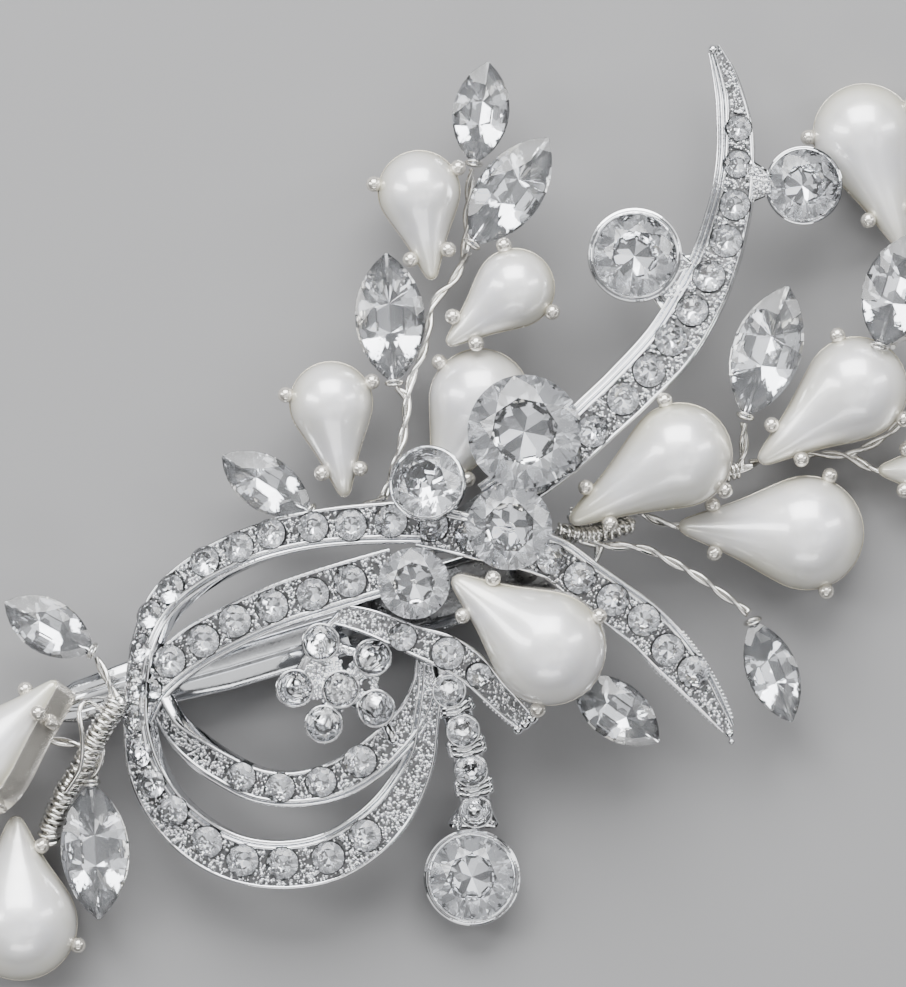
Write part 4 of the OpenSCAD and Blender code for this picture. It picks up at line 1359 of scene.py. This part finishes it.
def crystal_foil(name, colour, polish, wear, plate):
    """Silver foil under a stone, seen through the glass, slightly uneven."""
    material, tree, shader, place = node_material(name)
    tone = add_clouds(tree, place, 350, 3, (0.35, 0.75), (0, 0.15))
    feed(tree, shader, {
        "Metallic": plate,
        "Base Color": add_mix(tree, tone, tuple(colour), shaded(colour, 0.6)),
        "Roughness": add_clouds(tree, place, 1300, 4, (0.3, 0.8), (polish, wear)),
    })
    return material


def pearl_lustre(pearl):
    """Pearl lacquer on plastic: painted shade, warm and darker, towards the edge, a pale crest,
    cloudy depth and a clear coat.
    """
    material, tree, shader, place = node_material("pearl_lustre")
    crest = tree.nodes.new("ShaderNodeAttribute")
    crest.attribute_name = "crest"
    turn = add_node(tree, "LayerWeight", {"Blend": 0.5})
    # Painted shade: the colour darkens and warms where the pearl's height falls and where its
    # surface turns away from the view
    height = add_range(tree, crest.outputs["Fac"], (0.0, 0.5), (1, 0))
    shade = add_range(tree, turn.outputs["Facing"], (0.12, 0.8), (0, 1))
    edge = add_math(tree, "MAXIMUM", height, shade)
    body = tuple(pearl.body)
    warm_shading = add_mix(tree, edge, body, tuple(pearl.tint))
    cloud = add_clouds(tree, place, 130, 3, (0.35, 0.7), (0, 0.6))
    lilac = (body[0] * 0.9, body[1] * 0.9, body[2])
    feed(tree, shader, {
        "Base Color": add_mix(tree, cloud, warm_shading, lilac),
        "Metallic": 0.3,
        "Subsurface Weight": 0.08,
        "Subsurface Radius": (1.0, 0.8, 0.6),
        "Subsurface Scale": MM,
        "Roughness": add_clouds(tree, place, 700, 3, (0.3, 0.7), (0.3, 0.4)),
        "Specular IOR Level": 0.7,
        "Coat Weight": 1.0,
        "Coat Roughness": 0.07,
        "Coat IOR": 1.7,
        "Sheen Weight": 0.08,
        "Sheen Roughness": 0.4,
        "Sheen Tint": (0.84, 0.8, 1.0, 1),
    })
    add_bump(tree, shader, add_noise(tree, place, 500, 2), 0.012 * MM, 0.5)
    return material


def floor_paint(colour):
    material, tree, shader, place = node_material("floor_paint")
    tone = add_clouds(tree, place, 12, 4, (0.3, 0.7), (0, 0.08))
    feed(tree, shader, {
        "Base Color": add_mix(tree, tone, tuple(colour), shaded(colour, 0.9)),
        "Roughness": 0.9,
        "Specular IOR Level": 0.15,
    })
    return material


MATERIALS = {}


def finishes():
    """Every material of the clip, made once."""
    if not MATERIALS:
        scene = bpy.context.scene
        bow = tuple(scene.clip_bow.colour)
        cup = tuple(scene.clip_pearls.cup)
        foil = scene.clip_crystals.foil
        MATERIALS.update(
            polished=metal("polished_casting", shaded(bow, 0.92), 0.04, 0.14, grit=0.008),
            # Painted shade: the channels' floors, the stones' seats and the lump and plate behind
            # the bow take a far darker copy of the plated casting, which stands for the shade in
            # those recesses and between the grains; it is also rougher and gritty, with heavier
            # stains
            cast=metal("shaded_cast_floor", shaded(bow, 0.22), 0.2, 0.4, grit=0.05, stain=0.5),
            grain=metal("cast_grain", shaded(bow, 0.85), 0.05, 0.16, stain=0.1),
            cup=metal("champagne_cup", cup, 0.12, 0.3, plate=0.75),
            wire=metal("silver_wire", tuple(scene.clip_wire.colour), 0.08, 0.22, stain=0.3),
            clip=metal("clip_steel", tuple(scene.clip_jaws.colour), 0.05, 0.18),
            glass=crystal_glass(scene.clip_crystals),
            foil=crystal_foil("crystal_foil", foil, 0.01, 0.04, 0.9),
            soft_foil=crystal_foil("navette_foil", foil, 0.02, 0.07, 0.86),
            pearl=pearl_lustre(scene.clip_pearls),
        )
    return MATERIALS


def build_sky(scene):
    """Pale and grey panels overhead and dark walls, so that polished metal and facets have both
    light and dark things to mirror. The camera sees a plain pale grey."""
    world = bpy.data.worlds.new("room")
    scene.world = world
    world.use_nodes = True
    tree = world.node_tree
    way = add_node(tree, "TexCoord", {}).outputs["Generated"]
    split = add_node(tree, "SeparateXYZ", {"Vector": way})
    ramp = add_node(tree, "ValToRGB", {"Fac": split.outputs["Z"]})
    elements = ramp.color_ramp.elements
    for i, (height, grey) in enumerate(ROOM_STOPS):
        element = elements[i] if i < 2 else elements.new(height)
        element.position = height
        element.color = (grey, grey, grey * 1.02, 1)
    panels = add_node(tree, "TexVoronoi", {"Vector": way, "Scale": 3.4})
    shade = add_node(tree, "SeparateColor", {"Color": panels.outputs["Color"]})
    contrast = add_math(tree, "POWER", shade.outputs["Red"], 2.2)
    lit = add_math(tree, "ADD", add_math(tree, "MULTIPLY", contrast, 3.0), 0.12)
    overhead = add_math(tree, "MULTIPLY", lit, ramp.outputs["Color"])
    seen = add_node(tree, "LightPath", {}).outputs["Is Camera Ray"]
    background = tree.nodes["Background"]
    feed(tree, background, {"Color": add_mix(tree, seen, overhead, ROOM_GREY), "Strength": 1.0})


# Operators

class HAIRCLIP_OT_ribbons(bpy.types.Operator):
    """Models the bow's ribbons with their rims, channels, seats, grains and beaded ends"""
    bl_idname = "hairclip.ribbons"
    bl_label = "Ribbons"

    def execute(self, context):
        bow = context.scene.clip_bow
        ribbons = {name: Ribbon(rows) for name, rows in RIBBONS.items()}
        bm = model_ribbons(bow, ribbons)
        for *spot, r in TIP_KNOBS:
            add_ball(bm, mm(*spot), r * MM)
        make_piece("bow_ribbons", bm, ["polished", "cast"], 50, ["bow_casting"])
        rng = random.Random(11)
        grains = []
        for name, ribbon in ribbons.items():
            stones = stone_places(ribbon, CHANNEL_STONES[name])
            grains += scatter_grains(ribbon, LEDGES[name], stones, bow, rng)
        for name, start in MILGRAIN_STARTS:
            for side in (-1, 1):
                grains += milgrain(ribbons[name], start, side)
        bm = bmesh.new()
        add_grains(bm, grains)
        make_piece("bow_grains", bm, ["grain"], 180)
        return {"FINISHED"}


class HAIRCLIP_OT_core(bpy.types.Operator):
    """Models the lump behind the crystals, the plate on the clip and the cast joints"""
    bl_idname = "hairclip.core"
    bl_label = "Core"

    def execute(self, context):
        bm = bmesh.new()
        knot = []
        for corner in KNOT_CORNERS:
            knot += add_disc(bm, at(*corner), KNOT_ROUNDING * MM, KNOT_THICKNESS * MM)
        close_hull(bm, knot)
        low = JAW_GAP + SHEET + PLATE_LIFT
        middle = clip_matrix() @ at(PLATE_MIDDLE, 0, low + PLATE_SIZE[2] / 2)
        round_edges(bm, add_block(bm, middle, PLATE_SIZE), PLATE_ROUNDING)
        for foot, spot in PLATE_ARMS:
            places = clip_matrix() @ at(foot, 0, low + ARM_RISE), at(*spot)
            arm = []
            for place, (r, height) in zip(places, ARM_ENDS):
                arm += add_disc(bm, place, r * MM, height * MM)
            close_hull(bm, arm)
        # The lump, plate and arms take the cast floor's painted shade
        make_piece("bow_core", bm, ["cast"], 40)
        bm = bmesh.new()
        for start, end, r in CAST_JOINTS:
            ends = mm(*start), mm(*end)
            add_waisted_bar(bm, *ends, r * MM, JOINT_WAIST, 16)
            for point in ends:
                add_ball(bm, point, r * MM)
        make_piece("cast_joints", bm, ["polished"], 40)
        rng = random.Random(4)
        bm = bmesh.new()
        grains = []
        for corners, r, height, count in CAST_WEBS:
            grains += add_web(bm, corners, r, height, count, rng)
        add_grains(bm, grains)
        make_piece("bow_webs", bm, ["grain"], 45)
        return {"FINISHED"}


class HAIRCLIP_OT_channel_stones(bpy.types.Operator):
    """Sets the small round stones in the ribbons' channels and on the drop's stem"""
    bl_idname = "hairclip.channel_stones"
    bl_label = "Channel Stones"

    def execute(self, context):
        crystal = context.scene.clip_crystals
        places = []
        for centre, up, along, r in stone_places(Ribbon(RIBBON_STEM), STEM_STONES):
            centre += up * STEM_STONE_LIFT * MM
            places.append((centre, level_up(up, STEM_LEAN), along, r))
        for name, rows in RIBBONS.items():
            for centre, up, along, r in stone_places(Ribbon(rows), CHANNEL_STONES[name]):
                places.append((centre, level_up(up, CHANNEL_LEAN), along, r))
        rng = random.Random(5)
        bm = bmesh.new()
        for centre, up, along, r in places:
            lean = Vector((rng.uniform(-1, 1), rng.uniform(-1, 1), 0)) * STONE_TILT
            ahead = along.copy()
            ahead.rotate(Matrix.Rotation(rng.uniform(0, STONE_TURN), 3, up))
            sink = up * rng.uniform(*STONE_SINK) * MM
            cut_round(bm, stone_matrix(centre - sink, (up + lean).normalized(), ahead, r), crystal)
        make_piece("channel_stones", bm, ["glass", "foil"], 0)
        return {"FINISHED"}


class HAIRCLIP_OT_flower(bpy.types.Operator):
    """Models the flower of six small cups and its stones"""
    bl_idname = "hairclip.flower"
    bl_label = "Flower"

    def execute(self, context):
        cups = bmesh.new()
        stones = bmesh.new()
        rng = random.Random(3)
        r = FLOWER_CUP * MM
        for x, y in [FLOWER_MIDDLE, *FLOWER_PETALS]:
            tilts = [rng.uniform(-FLOWER_TILT, FLOWER_TILT) for _ in range(2)]
            lean = Matrix.Rotation(tilts[0], 4, "X") @ Matrix.Rotation(tilts[1], 4, "Y")
            place = at(x, y, FLOWER_Z) @ lean
            cup = open_cup(r, FLOWER_WALL * MM, FLOWER_DEPTH * MM)
            spin_profile(cups, cup, place, 32)
            turn = Matrix.Rotation(rng.uniform(0, STONE_TURN), 4, "Z")
            size = Matrix.Scale(r - FLOWER_INSET * MM, 4)
            stone = place @ at(0, 0, -FLOWER_SINK) @ turn @ size
            cut_round(stones, stone, context.scene.clip_crystals)
        z = FLOWER_Z - BAR_DEPTH
        hub = Vector((*FLOWER_MIDDLE, z))
        rims = [Vector((x, y, z)) for x, y in FLOWER_PETALS]
        bars = [(hub, rim, HUB_BAR) for rim in rims]
        bars += [(rims[0], rims[1], PETAL_BAR), (rims[1], rims[2], PETAL_BAR)]
        grains = []
        for start, end, wide in bars:
            add_waisted_bar(cups, start * MM, end * MM, wide * MM, 0.25, 14, BAR_FLAT)
            side = (end - start).normalized().cross(Vector((0, 0, 1)))
            for _ in range(BAR_GRAINS):
                across = rng.uniform(-0.95, 0.95)
                spot = start.lerp(end, rng.uniform(0.3, 0.7)) + side * across * wide * 0.8
                spot.z += wide * 0.5 * math.sqrt(1 - across ** 2 * 0.64)
                grains.append((spot * MM, rng.uniform(0.12, 0.26) * MM))
        add_grains(cups, grains)
        make_piece("flower_cups", cups, ["grain"], 45)
        make_piece("flower_stones", stones, ["glass", "foil"], 0)
        return {"FINISHED"}


class HAIRCLIP_OT_drop_stem(bpy.types.Operator):
    """Models the collars and ribbed bars of the stem that carries the drop"""
    bl_idname = "hairclip.drop_stem"
    bl_label = "Drop Stem"

    def execute(self, context):
        bm = bmesh.new()
        stem = Ribbon(RIBBON_STEM)
        half, depth, thickness = mm(*STEM_BODY)
        angles = [FULL_TURN * k / 16 for k in range(16)]
        sweep(bm, [
            [stem.place(i, half * math.cos(a), thickness * math.sin(a) - depth) for a in angles]
            for i in range(len(stem.points))
        ])
        for centre, up, along, r in stone_places(stem, STEM_STONES):
            centre += up * STEM_CUP_LIFT * MM
            place = stone_matrix(centre, level_up(up, STEM_LEAN), along, 1)
            wall = STEM_CUP_WALL * MM
            spin_profile(bm, open_cup(r + wall, wall, STEM_CUP_DEPTH * MM), place, 32)
        for px, py, ribs in STEM_BARS:
            centre, up, along = stem.under_photo(px, py)
            side = up.cross(along).normalized()
            for k in range(ribs):
                shift = (k - (ribs - 1) / 2) * RIB_STEP
                middle = centre + along * shift * MM - up * RIB_SINK * MM
                bar = []
                for q in range(-6, 7):
                    wave = RIB_WAVE * math.sin(0.9 * q + 2.1 * k) * MM
                    bar.append(middle + side * RIB_HALF * MM * q / 6 + along * wave
                               - up * RIB_FALL * MM * (q / 6) ** 2)
                radii = [RIB * MM * (1 + 0.12 * math.cos(2.3 * q + k)) for q in range(13)]
                add_tube(bm, bar, radii, 12)
                for end in (bar[0], bar[-1]):
                    add_ball(bm, end, RIB_KNOB * MM, 2)
        make_piece("drop_stem", bm, ["polished"], 45)
        return {"FINISHED"}


class HAIRCLIP_OT_round_crystals(bpy.types.Operator):
    """Cuts the large round crystals and turns their cups and bezels"""
    bl_idname = "hairclip.round_crystals"
    bl_label = "Round Crystals"

    def execute(self, context):
        cups = bmesh.new()
        for number, (row, turn) in enumerate(zip(ROUNDS, TURNS), 1):
            x, y, z, r, wall, tilt, heading = row
            place = at(x, y, z) @ turned(heading, "Z") @ turned(tilt, "Y")
            spin_profile(cups, crystal_cup(r * MM, wall * MM), place, 64)
            bm = bmesh.new()
            stone = place @ turned(turn - heading, "Z") @ Matrix.Scale((r - 0.02) * MM, 4)
            cut_round(bm, stone, context.scene.clip_crystals)
            make_piece(f"crystal_{number}", bm, ["glass", "foil"], 0,
                       [f"round_crystal_{number}"])
        make_piece("crystal_cups", cups, ["polished"], 45)
        return {"FINISHED"}


class HAIRCLIP_OT_pearls(bpy.types.Operator):
    """Turns the pear pearls"""
    bl_idname = "hairclip.pearls"
    bl_label = "Pearls"

    def execute(self, context):
        steps = context.scene.clip_pearls.segments
        for number, row in enumerate(PEARLS, 1):
            length, width = row[6:]
            bm = bmesh.new()
            # Height over the back, from which the pearl's material paints shade towards the edge
            crest = bm.verts.layers.float.new("crest")
            outline = [(p.x * MM, p.y * MM, 0) for p in pear_outline(length, width, 0, steps)]
            spin_line(bm, outline, (1, 0, 0), math.pi, steps)
            bmesh.ops.contextual_create(bm, geom=[e for e in bm.edges if e.is_boundary])
            for vert in bm.verts:
                vert[crest] = vert.co.z / (width / 2 * MM)
            bmesh.ops.transform(bm, matrix=pearl_matrix(row), verts=bm.verts)
            make_piece(f"pear_pearl_{number}", bm, ["pearl"], 50, [f"pearl_{number}"])
        return {"FINISHED"}


class HAIRCLIP_OT_pearl_cups(bpy.types.Operator):
    """Presses the pearls' metal cups and bends their claws"""
    bl_idname = "hairclip.pearl_cups"
    bl_label = "Pearl Cups"

    def execute(self, context):
        settings = context.scene.clip_pearls
        rng = random.Random(8)
        for number, row in enumerate(PEARLS, 1):
            length, width = row[6:]
            bm = bmesh.new()
            rings = []
            for z, grow in CUP_RINGS:
                half = pear_outline(length, width, grow, 28)
                loop = half + [Vector((p.x, -p.y)) for p in reversed(half[1:-1])]
                rings.append([Vector((p.x * MM, p.y * MM, z * MM)) for p in loop])
            sweep(bm, rings)
            bottom = min(bm.faces, key=lambda f: f.calc_center_median().z)
            bmesh.ops.inset_region(bm, faces=[bottom], thickness=0.7 * MM, depth=-0.25 * MM)
            for share in CLAW_SHARES:
                for side in (-1, 1):
                    spot = share + rng.uniform(-0.02, 0.02)
                    line = add_claw(bm, length, width, spot, side, settings)
                    if number == FOLDED_CUP:
                        add_fold(bm, line)
            bmesh.ops.transform(bm, matrix=pearl_matrix(row), verts=bm.verts)
            make_piece(f"pearl_cup_{number}", bm, ["cup"], 40,
                       [f"pearl_setting_{number}"])
        return {"FINISHED"}


class HAIRCLIP_OT_navettes(bpy.types.Operator):
    """Cuts the navette crystals and ties them with wire"""
    bl_idname = "hairclip.navettes"
    bl_label = "Navettes"

    def execute(self, context):
        slope = context.scene.clip_crystals.pavilion
        ties = bmesh.new()
        for number, (row, tied) in enumerate(zip(NAVETTES, TIED_ENDS), 1):
            x, y, z, heading, length, width = row
            place = at(x, y, z) @ turned(heading, "Z")
            bm = bmesh.new()
            cut_navette(bm, place, length * MM, width * MM, slope)
            make_piece(f"navette_crystal_{number}", bm, ["glass", "soft_foil"],
                       0, [f"navette_{number}"])
            end = tied * (length / 2 - TIE_INSET)
            for lean, r in TIE_TURNS:
                loop = []
                for k in range(25):
                    a = FULL_TURN * k / 24
                    reach = end + tied * (0.45 + lean * math.sin(a))
                    loop.append(place @ mm(reach, r * 0.9 * math.cos(a), r * math.sin(a) - 0.1))
                add_tube(ties, loop, TIE_WIRE * MM)
        make_piece("navette_ties", ties, ["wire"], 60)
        return {"FINISHED"}


class HAIRCLIP_OT_wires(bpy.types.Operator):
    """Twists the wire stems and winds the two bundles"""
    bl_idname = "hairclip.wires"
    bl_label = "Wires"

    def execute(self, context):
        settings = context.scene.clip_wire
        for name, twisted, wound, plain in STEMS:
            bm = bmesh.new()
            for rows in twisted:
                add_twist(bm, rows, settings)
            for rows, r in wound:
                add_winding(bm, rows, r * MM, settings)
            for rows in plain:
                add_tube(bm, [mm(*p) for p in smooth_line(rows, 8)], settings.strand, 10)
            make_piece(f"stem_{name}", bm, ["wire"], 60, [f"wire_{name}"])
        return {"FINISHED"}


class HAIRCLIP_OT_clip(bpy.types.Operator):
    """Presses the clip's two jaws, rivets its pin and winds its spring"""
    bl_idname = "hairclip.clip"
    bl_label = "Clip"

    def execute(self, context):
        settings = context.scene.clip_jaws
        place = clip_matrix()
        make_piece("clip_top_jaw", model_top_jaw(settings), ["clip"], 35, ["top_jaw"])
        make_piece("clip_lower_jaw", model_lower_jaw(settings), ["clip"], 35,
                   ["lower_jaw"], JAW)
        half = JAW_WIDTH / 2 + 0.07
        profile = [(x * MM, (half + z) * MM) for x, z in PIN_HEAD]
        profile += [(x, -z) for x, z in reversed(profile)]
        bm = bmesh.new()
        spin_profile(bm, profile, place @ turned(-90, "X"), 40)
        make_piece("clip_pin", bm, ["clip"], 45, ["hinge_pin"])
        bm = bmesh.new()
        line = [(SPRING_LEG * (k / 10 - 1), SPRING_HALF, SPRING_COIL) for k in range(10)]
        count = SPRING_TURNS * 20
        for k in range(count + 1):
            a = FULL_TURN * k / 20
            line.append((SPRING_COIL * math.sin(a), SPRING_HALF * (1 - 2 * k / count),
                         SPRING_COIL * math.cos(a)))
        add_tube(bm, [place @ mm(*p) for p in line], SPRING_WIRE * MM, 10)
        make_piece("clip_spring", bm, ["clip"], 60, ["spring"])
        return {"FINISHED"}


class HAIRCLIP_OT_stage(bpy.types.Operator):
    """Sets up the pale floor, the soft lights and the camera"""
    bl_idname = "hairclip.stage"
    bl_label = "Stage"

    def execute(self, context):
        stage = context.scene.clip_stage
        bm = bmesh.new()
        low = CAD_BOX[0].z - 0.02 * MM
        bmesh.ops.create_grid(bm, x_segments=2, y_segments=2, size=5,
                              matrix=Matrix.Translation((0, 0, low)))
        floor = new_object("floor", new_mesh("floor", bm))
        floor.data.materials.append(floor_paint(stage.floor))
        for name, heading, lean, distance, size, share in LIGHTS:
            light = bpy.data.lights.new(name, "AREA")
            light.shape = "RECTANGLE"
            light.size, light.size_y = size
            light.energy = stage.key * share
            lamp = new_object(name, light)
            ray = Vector((0, 0, 1))
            ray.rotate(Euler((0, math.radians(lean), math.radians(heading))))
            lamp.location = ray * distance
            lamp.rotation_euler = (-ray).to_track_quat("-Z", "Y").to_euler()
        build_sky(context.scene)
        camera = bpy.data.cameras.new("camera")
        x, y = from_photo(PHOTO_SIZE[0] / 2, PHOTO_SIZE[1] / 2)
        reach = PHOTO_SIZE[1] / PHOTO_SCALE * MM
        focus = 10 * MM
        camera.lens = camera.sensor_width * (stage.distance - focus) / reach
        camera.clip_start, camera.clip_end = 0.1, 20
        view = new_object("camera", camera)
        view.location = (x * MM, y * MM, stage.distance)
        context.scene.camera = view
        return {"FINISHED"}


class HAIRCLIP_PT_panel(bpy.types.Panel):
    bl_label = "Hair Clip"
    bl_idname = "HAIRCLIP_PT_panel"
    bl_space_type = "VIEW_3D"
    bl_region_type = "UI"
    bl_category = "Hair Clip"

    def draw(self, context):
        layout = self.layout
        for operator in OPERATORS:
            layout.operator(operator.bl_idname)
        for name in SETTINGS:
            box = layout.box()
            settings = getattr(context.scene, name)
            for key in settings.__annotations__:
                box.prop(settings, key)


SETTINGS = {
    "clip_bow": BowSettings, "clip_crystals": CrystalSettings, "clip_pearls": PearlSettings,
    "clip_wire": WireSettings, "clip_jaws": ClipSettings, "clip_stage": StageSettings,
}
OPERATORS = [
    HAIRCLIP_OT_stage, HAIRCLIP_OT_ribbons, HAIRCLIP_OT_core, HAIRCLIP_OT_channel_stones,
    HAIRCLIP_OT_flower, HAIRCLIP_OT_drop_stem, HAIRCLIP_OT_round_crystals, HAIRCLIP_OT_pearls,
    HAIRCLIP_OT_pearl_cups, HAIRCLIP_OT_navettes, HAIRCLIP_OT_wires, HAIRCLIP_OT_clip,
]
CLASSES = [*SETTINGS.values(), *OPERATORS, HAIRCLIP_PT_panel]


def register():
    for cls in CLASSES:
        bpy.utils.register_class(cls)
    for name, group in SETTINGS.items():
        setattr(bpy.types.Scene, name, PointerProperty(type=group))


def unregister():
    for name in SETTINGS:
        delattr(bpy.types.Scene, name)
    for cls in reversed(CLASSES):
        bpy.utils.unregister_class(cls)


def main():
    register()
    for operator in OPERATORS:
        getattr(bpy.ops.hairclip, operator.bl_idname.split(".")[1])()


if __name__ == "__main__":
    main()
